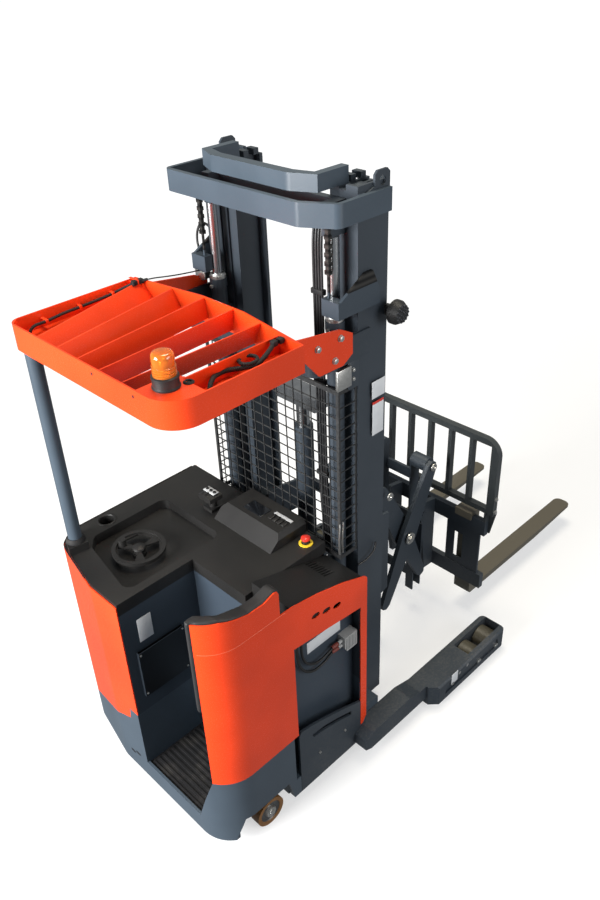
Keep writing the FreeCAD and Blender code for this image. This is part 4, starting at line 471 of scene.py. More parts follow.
moulded = Finish("textured black plastic", {"Specular IOR Level": 0.45})
leather = moulded.node("ShaderNodeTexVoronoi", {}, {"Vector": moulded.place, "Scale": 700.0})
sheen = moulded.noise(5.0, 3.0)
moulded.give("Base Color", moulded.mix(sheen, rgb(0.008, 0.008, 0.008), rgb(0.017, 0.016, 0.015)))
moulded.give("Roughness", 0.36 + sheen * 0.16)
moulded.bump(leather, 0.00018)
moulded = moulded.material
dress(moulded, "console", "control_handle", "steering_wheel")
roll_edges(0.004, "console")
roll_edges(0.003, "control_handle")

wheel_low, wheel_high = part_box("steering_wheel")
handle_low, handle_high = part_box("control_handle")
handle_mid = (handle_low + handle_high) / 2
console_top = handle_low.z


def plain(name, colour, roughness, more={}):
    """A small moulded or printed part in one colour, with fine wear in its gloss."""
    skin = Finish(name, more)
    wear = skin.noise(120.0, 3.0)
    skin.give("Base Color", skin.mix(wear, rgb(*[c * 0.85 for c in colour]), rgb(*colour)))
    skin.give("Roughness", roughness + wear * 0.12)
    return skin.material


stop_red = plain("stop button red", (0.72, 0.035, 0.02), 0.28, {"Coat Weight": 0.4})
ring_yellow = plain("stop ring yellow", (0.85, 0.58, 0.03), 0.4)
pale_grey = plain("pale grey plastic", (0.55, 0.56, 0.57), 0.35)
screen_black = plain("display glass", (0.006, 0.007, 0.009), 0.06, {"Coat Weight": 0.8})

# a mushroom button stands in a yellow ring
stop_at = at(0.794, -0.280, console_top)
bm = bmesh.new()
lathe(bm, stop_at + Vector((0, 0, 0.001)), (0, 0, 1), [(0.020, 0), (0.031, 0), (0.031, 0.004),
                                                       (0.020, 0.005), (0.020, 0)])
piece("stop_ring", bm, ring_yellow, "chassis")
bm = bmesh.new()
lathe(bm, stop_at + Vector((0, 0, 0.020)), (0, 0, 1), [(0.0, 0), (0.0175, 0), (0.021, 0.004), (0.0205, 0.012),
                                                        (0.014, 0.0165), (0.0, 0.0175)])
piece("stop_button", bm, stop_red, "chassis")

# the display, the row of switches and its label sit on the raised pod
pod_height = 0.062
pod_top = console_top + pod_height
bm = bmesh.new()
block(bm, at(0.735, -0.062, pod_top - 0.001), at(0.800, 0.052, pod_top + 0.003), 0.001)
piece("display", bm, screen_black, "chassis")
switch_pitch = 0.026
bm = bmesh.new()
for k in range(4):
    y = -0.098 - switch_pitch * k
    block(bm, at(0.752, y - 0.010, pod_top - 0.001), at(0.786, y + 0.010, pod_top + 0.006), 0.002)
piece("rocker_switches", bm, moulded, "chassis")
bm = bmesh.new()
block(bm, at(0.795, -0.190, pod_top - 0.0005), at(0.812, -0.084, pod_top + 0.0008), 0.0003)
piece("switch_label", bm, pale_grey, "chassis")

# a soft black seal closes the gap between the console and the left cover
seal = []
for step in range(60):
    spot = wall_point("left_cover", at(0.012 + 0.014 * step, 0.9, console_top - 0.030), (0, -1, 0))
    if spot:
        seal.append(Vector((spot.x, spot.y - 0.004, console_top + 0.0005)))
strand("console_seal", seal, 0.0028, rubber, "chassis")

# the handle has a pale grip plate on top with three round buttons and a thumb button behind
plate_top = handle_high.z
bm = bmesh.new()
block(bm, (handle_mid.x - 0.014, handle_low.y + 0.006, plate_top - 0.001),
      (handle_mid.x + 0.020, handle_high.y - 0.006, plate_top + 0.003), 0.0012)
piece("handle_plate", bm, pale_grey, "chassis")
bm = bmesh.new()
for k in range(3):
    y = handle_mid.y + 0.024 * (k - 1)
    drum(bm, (handle_mid.x + 0.003, y, plate_top + 0.002), (0, 0, 1), 0.0085, 0.006, 0.007)
drum(bm, (handle_mid.x - 0.026, handle_mid.y, plate_top - 0.008), (-0.4, 0, 1), 0.010, 0.014, 0.008)
piece("handle_buttons", bm, moulded, "chassis")

hub = (wheel_low + wheel_high) / 2
bm = bmesh.new()
lathe(bm, Vector((hub.x, hub.y, wheel_low.z + 0.017)), (0, 0, 1),
      [(0.0, 0.014), (0.018, 0.013), (0.027, 0.007), (0.029, 0.0), (0.0, 0.0)])
piece("steering_hub_cap", bm, moulded, "steering_wheel")

# the post stands in a rubber collar, and a flanged ring lines the cup hole
post_low, post_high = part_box("guard_post")
post = (post_low + post_high) / 2
bm = bmesh.new()
lathe(bm, Vector((post.x, post.y, post_low.z - 0.002)), (0, 0, 1),
      [(0.0305, 0.0), (0.043, 0.0), (0.041, 0.014), (0.034, 0.022), (0.0305, 0.022), (0.0305, 0.0)])
piece("post_collar", bm, rubber, "chassis")
bm = bmesh.new()
lathe(bm, at(0.300, 0.505, console_top - 0.0005), (0, 0, 1),
      [(0.034, -0.045), (0.034, 0.0), (0.038, 0.004), (0.043, 0.003), (0.044, 0.0), (0.035, -0.001),
       (0.0345, -0.045), (0.034, -0.045)])
piece("cup_ring", bm, moulded, "chassis")

# ---------------------------------------------------------------- battery, connector and cables
# Two heavy rubber-sheathed cables leave the console, hang in a loop and end in a big grey
# two-pole connector on the battery's side; red-brown strain reliefs cover their ends.

connector_grey = plain("connector grey", (0.42, 0.42, 0.41), 0.45)
relief_brown = plain("strain relief brown", (0.20, 0.035, 0.022), 0.5)
dress(connector_grey, "battery_connector")

sheath = Finish("cable sheath", {"Specular IOR Level": 0.4})
marks = sheath.noise(60.0, 3.0)
sheath.give("Base Color", sheath.mix(marks, rgb(0.008, 0.008, 0.008), rgb(0.022, 0.021, 0.020)))
sheath.give("Roughness", 0.42 + marks * 0.2)
sheath = sheath.material

plug_low, plug_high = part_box("battery_connector")
cable_y = (plug_low.y + plug_high.y) / 2

# the same routes as the CAD tubes: each pair is forward from the hull's rear face, and up
low_plug, high_plug = 0.7373, 0.7625
low_route = [(0.489, 1.040), (0.489, low_plug + 0.240), (0.481, low_plug + 0.160), (0.487, low_plug + 0.082),
             (0.517, low_plug + 0.014), (0.571, low_plug - 0.028), (0.637, low_plug - 0.026),
             (0.689, low_plug), (0.726, low_plug)]
high_route = [(0.513, 1.040), (0.513, high_plug + 0.212), (0.507, high_plug + 0.138),
              (0.513, high_plug + 0.066), (0.545, high_plug + 0.008), (0.601, high_plug - 0.022),
              (0.659, high_plug - 0.014), (0.703, high_plug), (0.726, high_plug)]
for tag, route, long in (("low", low_route, 0.515), ("high", high_route, 0.462)):
    line = [at(x, cable_y, z) for x, z in route]
    cable = strand("cable_" + tag, line, 0.006, sheath, "chassis")
    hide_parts("battery_cable_" + tag)
bm = bmesh.new()
for z in (low_plug, high_plug):
    end = at(0.722, cable_y, z)
    lathe(bm, end, (-1, 0, 0), [(0.0065, 0.0), (0.0105, 0.0), (0.010, 0.020), (0.0078, 0.036),
                                (0.0065, 0.036), (0.0065, 0.0)], 24)
piece("strain_reliefs", bm, relief_brown, "chassis")
bm = bmesh.new()
for k in range(7):
    x = plug_low.x + 0.030 + 0.0095 * k
    block(bm, (x, plug_low.y - 0.003, plug_low.z + 0.010),
          (x + 0.004, plug_low.y + 0.002, plug_high.z - 0.006), 0.0008)
piece("connector_ribs", bm, connector_grey, "chassis")

# ---------------------------------------------------------------- overhead guard
# The guard is one welded orange frame with leaning slats, held by a post and by two gussets
# that are bolted to the mast's yoke.

guard_low, guard_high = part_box("overhead_guard")
# the yoke takes the darker copy of the slate, as painted shade
dress(shadow_slate, "guard_yoke")
gusset_plate = 0.008
gusset_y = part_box("guard_yoke")[1].y + gusset_plate
bm = bmesh.new()
for side in (1, -1):
    for x, z in ((0.755, 2.124), (0.875, 2.125), (0.843, 2.046)):
        bolt(bm, at(x, side * gusset_y, z), (0, side, 0), 0.022)
piece("gusset_bolts", bm, zinc, "chassis")
bm = bmesh.new()
for y in (-0.068, -0.301):
    drum(bm, (guard_low.x + 0.0004, y, guard_high.z - 0.026), (-1, 0, 0), 0.0055, 0.0014, sides=16)
piece("rim_plugs", bm, rubber, "chassis")

# ---------------------------------------------------------------- beacon
# The beacon is a ribbed amber lens on a moulded black base, on the right side of the guard's
# frame.  A bright bulb holder shows through the lens.

beacon_low, beacon_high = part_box("beacon")
beacon = (beacon_low + beacon_high) / 2
base_share = 0.35
lens_foot = beacon_low.z + (beacon_high.z - beacon_low.z) * base_share
amber = Finish("amber lens", {"Transmission Weight": 0.55, "IOR": 1.46, "Coat Weight": 0.8})
glow = amber.noise(25.0, 2.0)
amber.give("Base Color", amber.mix(glow, rgb(0.95, 0.17, 0.010), rgb(1.0, 0.30, 0.03)))
amber.give("Roughness", 0.10 + glow * 0.1)
amber = amber.material
beacon_black = plain("beacon base plastic", (0.014, 0.014, 0.014), 0.4)
bm = bmesh.new()
lens = [(0.0, 0.0), (0.0388, 0.0)]
for k in range(4):
    h = 0.003 + 0.0085 * k
    lens += [(0.0392, h), (0.0392, h + 0.0050), (0.0366, h + 0.0066)]
lens += [(0.0376, 0.038), (0.0372, 0.066), (0.0355, 0.0735), (0.0310, 0.0790), (0.0240, 0.0806),
         (0.0, 0.0815)]
lathe(bm, Vector((beacon.x, beacon.y, lens_foot)), (0, 0, 1), lens, 48)
piece("beacon_lens", bm, amber, "chassis", crease=50)
bm = bmesh.new()
lathe(bm, Vector((beacon.x, beacon.y, lens_foot + 0.002)), (0, 0, 1),
      [(0.0, 0.0), (0.026, 0.0), (0.026, 0.006), (0.010, 0.012), (0.010, 0.030), (0.013, 0.034),
       (0.013, 0.052), (0.009, 0.057), (0.0, 0.058)], 28)
piece("beacon_bulb", bm, zinc, "chassis", crease=50)
bm = bmesh.new()
foot = Vector((beacon.x, beacon.y, beacon_low.z))
lathe(bm, foot, (0, 0, 1), [(0.0, 0.0), (0.0460, 0.0), (0.0468, 0.005), (0.0436, 0.009), (0.0432, 0.032),
                            (0.0452, 0.034), (0.0452, 0.041), (0.0410, 0.044), (0.0, 0.044)], 48)
base = piece("beacon_base", bm, beacon_black, "chassis")
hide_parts("beacon")

# ---------------------------------------------------------------- guard wiring
# A harness in a ribbed sleeve is clipped along the guard's left channel, and a thicker one
# lies coiled in the right channel.  They come up through grommets and end in small connectors.

harness = Finish("harness sleeve", {"Specular IOR Level": 0.3})
ridges = harness.node("ShaderNodeTexWave", {"wave_type": "BANDS", "bands_direction": "X"},
                      {"Vector": harness.place, "Scale": 60.0})
harness.give("Base Color", harness.mix(ridges, rgb(0.008, 0.008, 0.008), rgb(0.03, 0.03, 0.03)))
harness.give("Roughness", 0.6 + ridges * 0.1)
harness.bump(ridges, 0.0008)
harness = harness.material
channel_depth = 0.065
shelf = guard_high.z - channel_depth
left_line = [(0.098, 0.420, 0.003), (0.106, 0.424, 0.026), (0.130, 0.428, 0.040), (0.190, 0.446, 0.030),
             (0.270, 0.456, 0.034), (0.350, 0.466, 0.030), (0.430, 0.468, 0.032), (0.500, 0.464, 0.038),
             (0.560, 0.452, 0.052), (0.600, 0.430, 0.066), (0.640, 0.412, 0.070)]
left_line = [at(x, y, shelf + z) for x, y, z in left_line]
strand("guard_harness_left", left_line, 0.0058, harness, "chassis")
strand("guard_wire_left", [left_line[-2], at(0.650, 0.400, shelf + 0.074), at(0.720, 0.392, shelf + 0.062),
                           at(0.800, 0.384, shelf + 0.052), at(0.880, 0.376, shelf + 0.046)],
       0.0028, harness, "chassis")
right_line = [(0.262, -0.424, 0.001), (0.266, -0.420, 0.022), (0.292, -0.396, 0.030), (0.338, -0.362, 0.024),
              (0.385, -0.366, 0.026), (0.425, -0.398, 0.028), (0.470, -0.424, 0.032), (0.515, -0.412, 0.040),
              (0.560, -0.396, 0.050), (0.596, -0.380, 0.060)]
right_line = [at(x, y, shelf + z) for x, y, z in right_line]
strand("guard_harness_right", right_line, 0.0085, harness, "chassis")
coil = []
for k in range(17):
    turn = k * math.tau / 16
    coil.append(at(0.462 + 0.034 * math.cos(turn), -0.388 + 0.030 * math.sin(turn), shelf + 0.042))
strand("guard_harness_coil", coil, 0.0065, harness, "chassis")
bm = bmesh.new()
for spot, side in ((left_line[-2], 1), (right_line[-1], -1)):
    for k in range(2):
        block(bm, spot + Vector((0.004 - 0.030 * k, -0.016 + side * 0.004, -0.010)),
              spot + Vector((0.026 - 0.030 * k, 0.006 + side * 0.004, 0.010)), 0.003)
piece("harness_connectors", bm, rubber, "chassis")
bm = bmesh.new()
for x, y, z in ((0.098, 0.420, shelf), (0.262, -0.424, shelf), (0.205, -0.398, guard_high.z)):
    lathe(bm, at(x, y, z - 0.001), (0, 0, 1), [(0.0100, 0.0), (0.0185, 0.0), (0.0185, 0.003), (0.0150, 0.006),
                                               (0.0100, 0.005), (0.0100, 0.0)], 28)
drum(bm, at(0.205, -0.398, guard_high.z - 0.001), (0, 0, 1), 0.0102, 0.003, 0.006)
piece("grommets", bm, rubber, "chassis")
# each clip is a strip from the rim, bent round the harness: under it, beside it and over it
rim_y = guard_high.y - 0.006
bm = bmesh.new()
for k in (3, 5, 7, 9):
    spot = left_line[k]
    for near, far, foot, top in ((spot.y - 0.008, rim_y, -0.010, -0.004),
                                 (spot.y - 0.009, spot.y - 0.006, -0.008, 0.009),
                                 (spot.y - 0.008, rim_y, 0.006, 0.009)):
        block(bm, (spot.x - 0.006, near, spot.z + foot), (spot.x + 0.006, far, spot.z + top), 0.001)
piece("harness_clips", bm, orange, "chassis")

# ---------------------------------------------------------------- mast
# Three nested pairs of rolled rails make the mast, sprayed dark and left plain.  Two cylinders
# with chrome rods lift it, and greased leaf chains run up from painted anchors beside them.

mast_paint = sprayed("mast paint", (0.036, 0.046, 0.058), gloss=0.36, dust=0.1)
rail_names = [stage + "_rail_" + side for stage in ("outer", "middle", "inner") for side in ("left", "right")]
dress(mast_paint, *rail_names, "middle_head", "lift_barrels", "free_lift_barrel", "mast_carriage")

chrome = Finish("hard chrome", {"Metallic": 1.0})
haze = chrome.noise(30.0, 3.0, (1, 1, 0.1))
chrome.give("Base Color", chrome.mix(haze, rgb(0.46, 0.47, 0.48), rgb(0.60, 0.61, 0.62)))
chrome.give("Roughness", 0.20 + haze * 0.10)
chrome = chrome.material
dress(chrome, "lift_rods", "free_lift_head")

anchor_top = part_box("lift_chains")[0].z + 0.089
greased = Finish("greased chain and painted anchors")
grease = greased.noise(40.0, 3.0)
link = greased.node("ShaderNodeTexWave", {"wave_type": "BANDS", "bands_direction": "Z"},
                    {"Vector": greased.place, "Scale": 12.0})
chain = greased.between(greased.along("Z"), anchor_top - 0.001, anchor_top + 0.001)
greased.give("Base Color", greased.mix(chain, rgb(0.040, 0.054, 0.070),
                                       greased.mix(link, rgb(0.008, 0.008, 0.008), rgb(0.055, 0.052, 0.048))))
greased.give("Metallic", chain * 0.6)
greased.give("Roughness", 0.34 + grease * 0.15)
dress(greased.material, "lift_chains")

# ---------------------------------------------------------------- mast hoses and lift manifold
# Four rubber hoses hang in a row behind the right rails, gripped by moulded clamps.  A zinc
# manifold beside the left cylinder feeds the lift through two short hoses.

hose_rubber = Finish("hose rubber", {"Specular IOR Level": 0.45})
streak = hose_rubber.noise(18.0, 3.0)
hose_rubber.give("Base Color", hose_rubber.mix(streak, rgb(0.008, 0.008, 0.009), rgb(0.026, 0.026, 0.027)))
hose_rubber.give("Roughness", 0.34 + streak * 0.2)
hose_rubber = hose_rubber.material

head_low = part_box("middle_head")[0]
rail_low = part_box("outer_rail_right")[0]
hose_pitch = 0.0135
for k in range(4):
    y = -0.241 - hose_pitch * k
    strand("mast_hose_%d" % (k + 1), [
        (rail_low.x - 0.036, y, head_low.z + 0.070), (rail_low.x - 0.058, y, head_low.z + 0.020),
        (rail_low.x - 0.060, y, head_low.z - 0.150), (rail_low.x - 0.058, y, 2.100),
        (rail_low.x - 0.060, y + 0.001, 1.700), (rail_low.x - 0.056, y, 1.250),
        (rail_low.x - 0.030, y, 1.020)], 0.0056, hose_rubber, "chassis")
bm = bmesh.new()
for z in (2.235, 1.860, 1.420):
    block(bm, (rail_low.x - 0.070, -0.292, z), (rail_low.x - 0.047, -0.231, z + 0.022), 0.003)
piece("mast_hose_clamps", bm, rubber, "chassis")

# a screwed gland closes the top of each lift cylinder, with a bleed screw on its side
barrel_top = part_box("lift_barrels")[1].z
bm = bmesh.new()
for side in (1, -1):
    foot = at(0.938, side * 0.336, barrel_top)
    lathe(bm, foot, (0, 0, 1), [(0.0235, 0.0006), (0.0345, 0.0006), (0.0345, 0.012), (0.031, 0.015),
                                (0.029, 0.022), (0.0235, 0.022), (0.0235, 0.0006)], 32)
    drum(bm, foot + Vector((-0.034, 0, -0.030)), (-1, 0, 0), 0.009, 0.010, 0.008, 6)
piece("cylinder_glands", bm, zinc, "chassis")

# the manifold is bolted to a bracket, and two unions stand on it
bm = bmesh.new()
block(bm, at(0.905, 0.398, 2.128), at(0.952, 0.448, 2.186), 0.004)
block(bm, at(0.900, 0.377, 2.138), at(0.905, 0.440, 2.170), 0.001)
for y in (0.410, 0.436):
    bolt(bm, at(0.905, y, 2.172), (-1, 0, 0), 0.011)
drum(bm, at(0.928, 0.412, 2.186), (0, 0, 1), 0.010, 0.022, 0.008, 6)
drum(bm, at(0.928, 0.436, 2.186), (0, 0, 1), 0.008, 0.014, 0.008, 6)
piece("lift_manifold", bm, zinc, "chassis")
strand("manifold_hose", [at(0.928, 0.412, 2.204), at(0.926, 0.430, 2.245), at(0.930, 0.446, 2.300),
                         at(0.936, 0.432, 2.352), at(0.944, 0.404, 2.372), at(0.962, 0.396, 2.350)],
       0.0052, hose_rubber, "chassis")
strand("manifold_feed", [at(0.928, 0.436, 2.196), at(0.926, 0.452, 2.212), at(0.930, 0.466, 2.170),
                         at(0.940, 0.458, 2.090), at(0.962, 0.428, 2.020)],
       0.0052, hose_rubber, "chassis")

# ---------------------------------------------------------------- stickers on the right rail
# Two blank white stickers are stuck on the right rail's outer face, the lower one with a red
# head.  A short hose is tied across the same rail low down.

rail_face = rail_low.y
bm = bmesh.new()
block(bm, at(1.062, rail_face - 0.0007, 1.786), at(1.140, rail_face, 1.863), 0.0003)
block(bm, at(1.066, rail_face - 0.0007, 1.614), at(1.134, rail_face, 1.758), 0.0003)
piece("rail_stickers", bm, white_plate, "chassis")
bm = bmesh.new()
block(bm, at(1.066, rail_face - 0.0007, 1.758), at(1.134, rail_face, 1.770), 0.0003)
piece("rail_sticker_head", bm, stop_red, "chassis")
strand("rail_strap", [at(1.092, rail_face - 0.004, 1.046), at(1.086, rail_face - 0.010, 1.020),
                      at(1.050, rail_face - 0.012, 1.000), at(1.010, rail_face - 0.012, 0.990),
                      at(0.976, rail_face - 0.004, 0.986)], 0.0050, hose_rubber, "chassis")

# ---------------------------------------------------------------- mesh screen
# A screen of welded wire, coated black, keeps hands out of the mast.  It hangs from a bright
# bracket under the guard's yoke, held by two bolts.

wire_black = Finish("coated wire", {"Metallic": 0.3})
wire_wear = wire_black.noise(90.0, 3.0)
wire_black.give("Base Color", wire_black.mix(wire_wear, rgb(0.016, 0.017, 0.018), rgb(0.06, 0.06, 0.06)))
wire_black.give("Roughness", 0.35 + wire_wear * 0.2)
dress(wire_black.material, "mesh_screen")

wire_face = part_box("mesh_screen")[0].y
bm = bmesh.new()
block(bm, at(0.862, wire_face - 0.020, 1.902), at(0.940, wire_face - 0.006, 1.988), 0.003)
piece("screen_bracket", bm, zinc, "chassis")
bm = bmesh.new()
block(bm, at(0.935, wire_face - 0.010, 1.880), at(0.989, wire_face - 0.004, 1.996), 0.001)
piece("screen_bracket_plate", bm, mast_paint, "chassis")
bm = bmesh.new()
for z in (1.921, 1.960):
    bolt(bm, at(0.958, wire_face - 0.010, z), (0, -1, 0), 0.014)
piece("screen_bracket_bolts", bm, zinc, "chassis")

# two bright stays are hooked over the wires near the screen's lower edge
stay = [(0.0, -0.006, 1.262), (-0.002, -0.010, 1.246), (-0.010, -0.010, 1.190), (-0.010, -0.010, 1.130),
        (-0.004, -0.006, 1.102)]
for k, start in enumerate((0.876, 0.896)):
    line = [at(start + x, wire_face + y, z) for x, y, z in stay]
    strand("screen_stay_%d" % (k + 1), line, 0.0032, zinc, "chassis")

# ---------------------------------------------------------------- pantograph and fork carriage
# Heavy scissor arms push the fork carriage forward.  They cross on one pin, whose round caps
# are held by four bolts each; the frames and arms wear the same darker slate, as painted shade.

dress(shadow_slate, "reach_rear_frame", "reach_front_frame", "outer_arms", "inner_arms", "fork_carriage")
roll_edges(0.003, "outer_arms", "inner_arms", "reach_rear_frame", "reach_front_frame", "fork_carriage")
pin_face = max(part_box(name)[1].y for name in ("outer_arms", "inner_arms"))
hinges = {j["name"]: Vector(j["pos_m"]) for j in frame["joints"] if "pos_m" in j}
cross = hinges["reach_cross"]
bolt_circle = 0.0255
bm = bmesh.new()
for side in (1, -1):
    face = side * pin_face
    drum(bm, (cross.x, face - side * 0.001, cross.z), (0, side, 0), 0.034, 0.006, 0.032, 40)
    drum(bm, (cross.x, face + side * 0.005, cross.z), (0, side, 0), 0.019, 0.007, 0.017, 6)
    for k in range(4):
        turn = 0.5 + k * math.pi / 2
        x = cross.x + bolt_circle * math.cos(turn)
        z = cross.z + bolt_circle * math.sin(turn)
        bolt(bm, (x, face + side * 0.004, z), (0, side, 0), 0.008)
piece("arm_pin_caps", bm, zinc, "outer_arms")

# the frames' upper pivots have round keeper plates with a grease nipple in the middle; all
# four are one piece on the outer arms, so the rear pair leaves its pivot when the arms swing
bm = bmesh.new()
for name in ("reach", "reach_head"):
    spot = hinges[name]
    for side in (1, -1):
        drum(bm, (spot.x, side * (pin_face - 0.001), spot.z), (0, side, 0), 0.022, 0.005, 0.020, 32)
        drum(bm, (spot.x, side * (pin_face + 0.004), spot.z), (0, side, 0), 0.0045, 0.008, 0.0025, 12)
piece("arm_end_caps", bm, zinc, "outer_arms")

# ---------------------------------------------------------------- load backrest and forks
# The backrest is a bent tube with flat bars; the forks are forged and rolled, and painted a
# khaki grey that is scraped to bare steel in streaks along them.

backrest_paint = sprayed("backrest paint", (0.040, 0.046, 0.048), gloss=0.36, dust=0.1)
dress(backrest_paint, "load_backrest")
rest_low, rest_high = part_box("load_backrest")
bolt_x = (rest_low.x + rest_high.x) / 2 - 0.004
bm = bmesh.new()
for side, edge in ((1, rest_high.y), (-1, rest_low.y)):
    for z in (0.771, 0.853):
        bolt(bm, (bolt_x, edge, z), (0, side, 0), 0.019)
piece("backrest_bolts", bm, zinc, "fork_carriage")

forged = Finish("fork paint")
scrape = forged.noise(7.0, 6.0, (0.25, 1, 1))
fine = forged.noise(150.0, 4.0)
bare = forged.between(scrape * 0.7 + fine * 0.3, 0.55, 0.7)
forged.give("Base Color", forged.mix(bare, rgb(0.115, 0.102, 0.075), rgb(0.25, 0.23, 0.20)))
forged.give("Metallic", bare * 0.7)
forged.give("Roughness", 0.46 - bare * 0.12 + fine * 0.1)
forged.bump(fine, 0.0001)
dress(forged.material, "fork_left", "fork_right")

# ---------------------------------------------------------------- wheels
# Every wheel has a moulded tyre bonded to a steel or cast core: amber on the caster, nearly
# black on the drive wheel and khaki on the load rollers.  The caster's hub is bolted on.


def bonded_tyre(name, node, share, tyre, core):
    """Paint a wheel as a tyre round a metal core; share is the core's part of the radius."""
    low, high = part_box(node)
    middle = (low + high) / 2
    radius = (high.z - low.z) / 2
    skin = Finish(name)
    out = skin.from_axis(tuple(middle), (1, 0, 1))
    rim = skin.between(out, radius * share - 0.0008, radius * share + 0.0008)
    soil = skin.noise(35.0, 4.0)
    rubbed = skin.mix(soil, rgb(*tyre), rgb(*[c * 0.45 for c in tyre]))
    metal = skin.mix(soil, rgb(*core), rgb(*[c * 0.7 for c in core]))
    skin.give("Base Color", skin.mix(rim, metal, rubbed))
    skin.give("Metallic", (1.0 - rim) * 0.8)
    skin.give("Roughness", 0.32 + soil * 0.25)
    dress(skin.material, node)


bonded_tyre("caster tyre", "caster_wheel", 0.72, (0.30, 0.135, 0.035), (0.16, 0.16, 0.16))
bonded_tyre("drive tyre", "drive_wheel", 0.80, (0.05, 0.045, 0.04), (0.08, 0.08, 0.08))
for side in ("left", "right"):
    for place in ("rear", "front"):
        bonded_tyre("roller tyre %s %s" % (side, place), "load_wheel_%s_%s" % (side, place), 0.6,
                    (0.100, 0.090, 0.062), (0.2, 0.2, 0.2))

cast_dark = Finish("cast iron", {"Metallic": 0.6})
sand = cast_dark.noise(300.0, 4.0)
cast_dark.give("Base Color", cast_dark.mix(sand, rgb(0.02, 0.02, 0.021), rgb(0.07, 0.07, 0.07)))
cast_dark.give("Roughness", 0.5 + sand * 0.2)
cast_dark.bump(sand, 0.0004)
dress(cast_dark.material, "drive_unit")
dress(zinc, "caster_fork")

caster_low, caster_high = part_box("caster_wheel")
caster = (caster_low + caster_high) / 2
hub_face = caster_low.y
stud_circle = 0.022
bm = bmesh.new()
drum(bm, (caster.x, hub_face + 0.008, caster.z), (0, -1, 0), 0.030, 0.012, 0.026, 36)
drum(bm, (caster.x, hub_face - 0.004, caster.z), (0, -1, 0), 0.013, 0.006, 0.011, 24)
for k in range(5):
    turn = math.tau * k / 5 + 0.4
    x = caster.x + stud_circle * math.cos(turn)
    z = caster.z + stud_circle * math.sin(turn)
    bolt(bm, (x, hub_face - 0.001, z), (0, -1, 0), 0.009)
piece("caster_hub", bm, zinc, "caster_wheel")

# ---------------------------------------------------------------- work lamp
# A round work lamp on the right rail lights the load: a finned black housing with three rings
# of small mirrored reflectors in its face.

lamp_low, lamp_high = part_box("work_lamp")
dress(beacon_black, "work_lamp")
lamp_mid = (lamp_low + lamp_high) / 2
lamp = Vector((lamp_mid.x, lamp_low.y, lamp_mid.z))
reflector = plain("lamp reflector", (0.10, 0.10, 0.11), 0.12, {"Metallic": 0.7, "Coat Weight": 0.8})
bm = bmesh.new()
for ring, count in ((0.010, 4), (0.0215, 9), (0.0325, 14)):
    for k in range(count):
        turn = math.tau * k / count
        spot = lamp + Vector((ring * math.cos(turn), -0.001, ring * math.sin(turn)))
        drum(bm, spot, (0, -1, 0), 0.0045, 0.003, 0.0030, 14)
piece("lamp_reflectors", bm, reflector, "chassis")

# ---------------------------------------------------------------- floor, light and camera
# The truck stands on a pale studio floor that fades to near white.  A big soft light stands
# behind it, a weaker one on its right and a warm one overhead.

floor_paint = Finish("studio floor", {"Emission Strength": 1.0})
mottle = floor_paint.noise(1.5, 2.0)
far = floor_paint.between(floor_paint.from_axis((0, 0, 0), (1, 1, 0)), 2.0, 9.0)
floor_paint.give("Base Color", floor_paint.mix(mottle, rgb(0.44, 0.44, 0.44), rgb(0.46, 0.46, 0.46)))
floor_paint.give("Roughness", 0.75 + mottle * 0.1)
floor_paint.give("Emission Color", floor_paint.mix(far, rgb(0.55, 0.55, 0.55), rgb(0.92, 0.92, 0.92)))
bm = bmesh.new()
bmesh.ops.create_grid(bm, x_segments=1, y_segments=1, size=150)
floor_mesh = bpy.data.meshes.new("studio_floor")
bm.to_mesh(floor_mesh)
bm.free()
floor_mesh.materials.append(floor_paint.material)
floor = bpy.data.objects.new("studio_floor", floor_mesh)
bpy.context.scene.collection.objects.link(floor)
floor.visible_diffuse = False
floor.visible_glossy = False

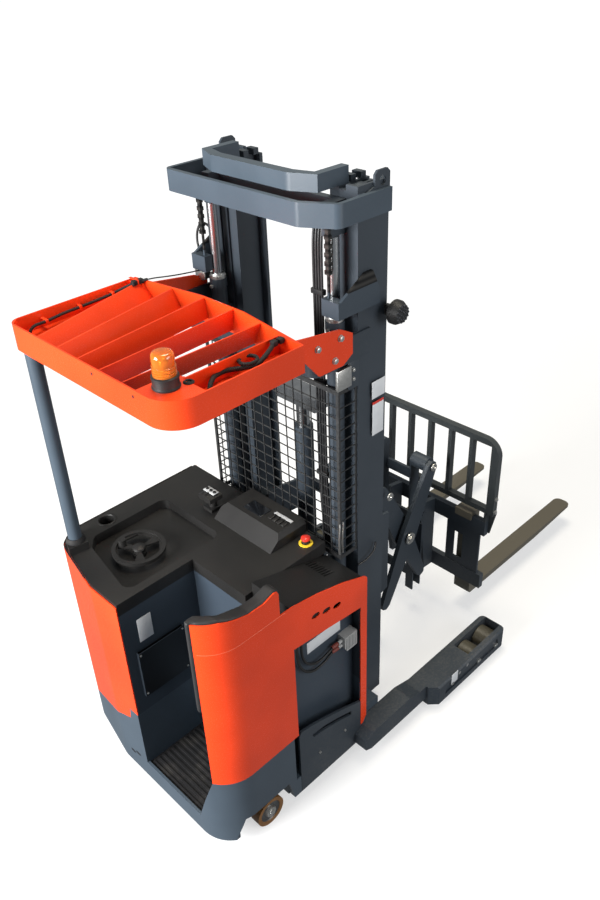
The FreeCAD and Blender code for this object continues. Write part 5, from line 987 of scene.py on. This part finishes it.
sky = bpy.data.worlds.new("studio")
sky.use_nodes = True
sky_nodes, sky_links = sky.node_tree.nodes, sky.node_tree.links
ambient = sky_nodes["Background"]
ambient.inputs["Color"].default_value = rgb(0.90, 0.95, 1.0)
ambient.inputs["Strength"].default_value = 0.25
backdrop = sky_nodes.new("ShaderNodeBackground")
backdrop.inputs["Color"].default_value = rgb(0.92, 0.92, 0.92)
seen = sky_nodes.new("ShaderNodeMixShader")
sky_links.new(sky_nodes.new("ShaderNodeLightPath").outputs["Is Camera Ray"], seen.inputs[0])
sky_links.new(ambient.outputs[0], seen.inputs[1])
sky_links.new(backdrop.outputs[0], seen.inputs[2])
sky_links.new(seen.outputs[0], sky_nodes["World Output"].inputs["Surface"])
bpy.context.scene.world = sky


def soft_light(name, place, aim, size, power, tint=(1.0, 1.0, 1.0)):
    lamp_data = bpy.data.lights.new(name, "AREA")
    lamp_data.shape = "DISK"
    lamp_data.size = size
    lamp_data.energy = power
    lamp_data.color = tint
    obj = bpy.data.objects.new(name, lamp_data)
    obj.location = place
    obj.rotation_euler = (Vector(aim) - Vector(place)).to_track_quat("-Z", "Y").to_euler()
    bpy.context.scene.collection.objects.link(obj)


# name, place, point lit, width, watts and tint
soft_light("key", (-6.4, 0.6, 3.0), (-0.6, 0.0, 1.2), 3.0, 950.0)
soft_light("fill", (0.6, -6.0, 3.2), (-0.3, 0.0, 1.2), 4.0, 200.0)
soft_light("overhead", (0.5, 0.5, 7.5), (0.0, 0.0, 1.0), 3.0, 330.0, (1.0, 0.92, 0.76))

# the camera looks down from the rear right; its three turns are in degrees
camera_data = bpy.data.cameras.new("camera")
camera_data.lens = 33.77
camera_data.sensor_width = 36.0
camera_data.sensor_fit = "AUTO"
camera = bpy.data.objects.new("camera", camera_data)
azimuth, elevation, roll = (math.radians(v) for v in (-43.4655, 32.8102, -2.5429))
back = Vector((math.sin(azimuth) * math.cos(elevation), -math.cos(azimuth) * math.cos(elevation),
               math.sin(elevation)))
right = (-back).cross(Vector((0, 0, 1))).normalized()
up = right.cross(-back)
right, up = (right * math.cos(roll) + up * math.sin(roll), up * math.cos(roll) - right * math.sin(roll))
turn = Matrix((right, up, back)).transposed().to_4x4()
camera.matrix_world = Matrix.Translation((-2.6994, -2.3357, 3.450)) @ turn
bpy.context.scene.collection.objects.link(camera)
bpy.context.scene.camera = camera
bpy.context.scene.view_settings.view_transform = "Standard"
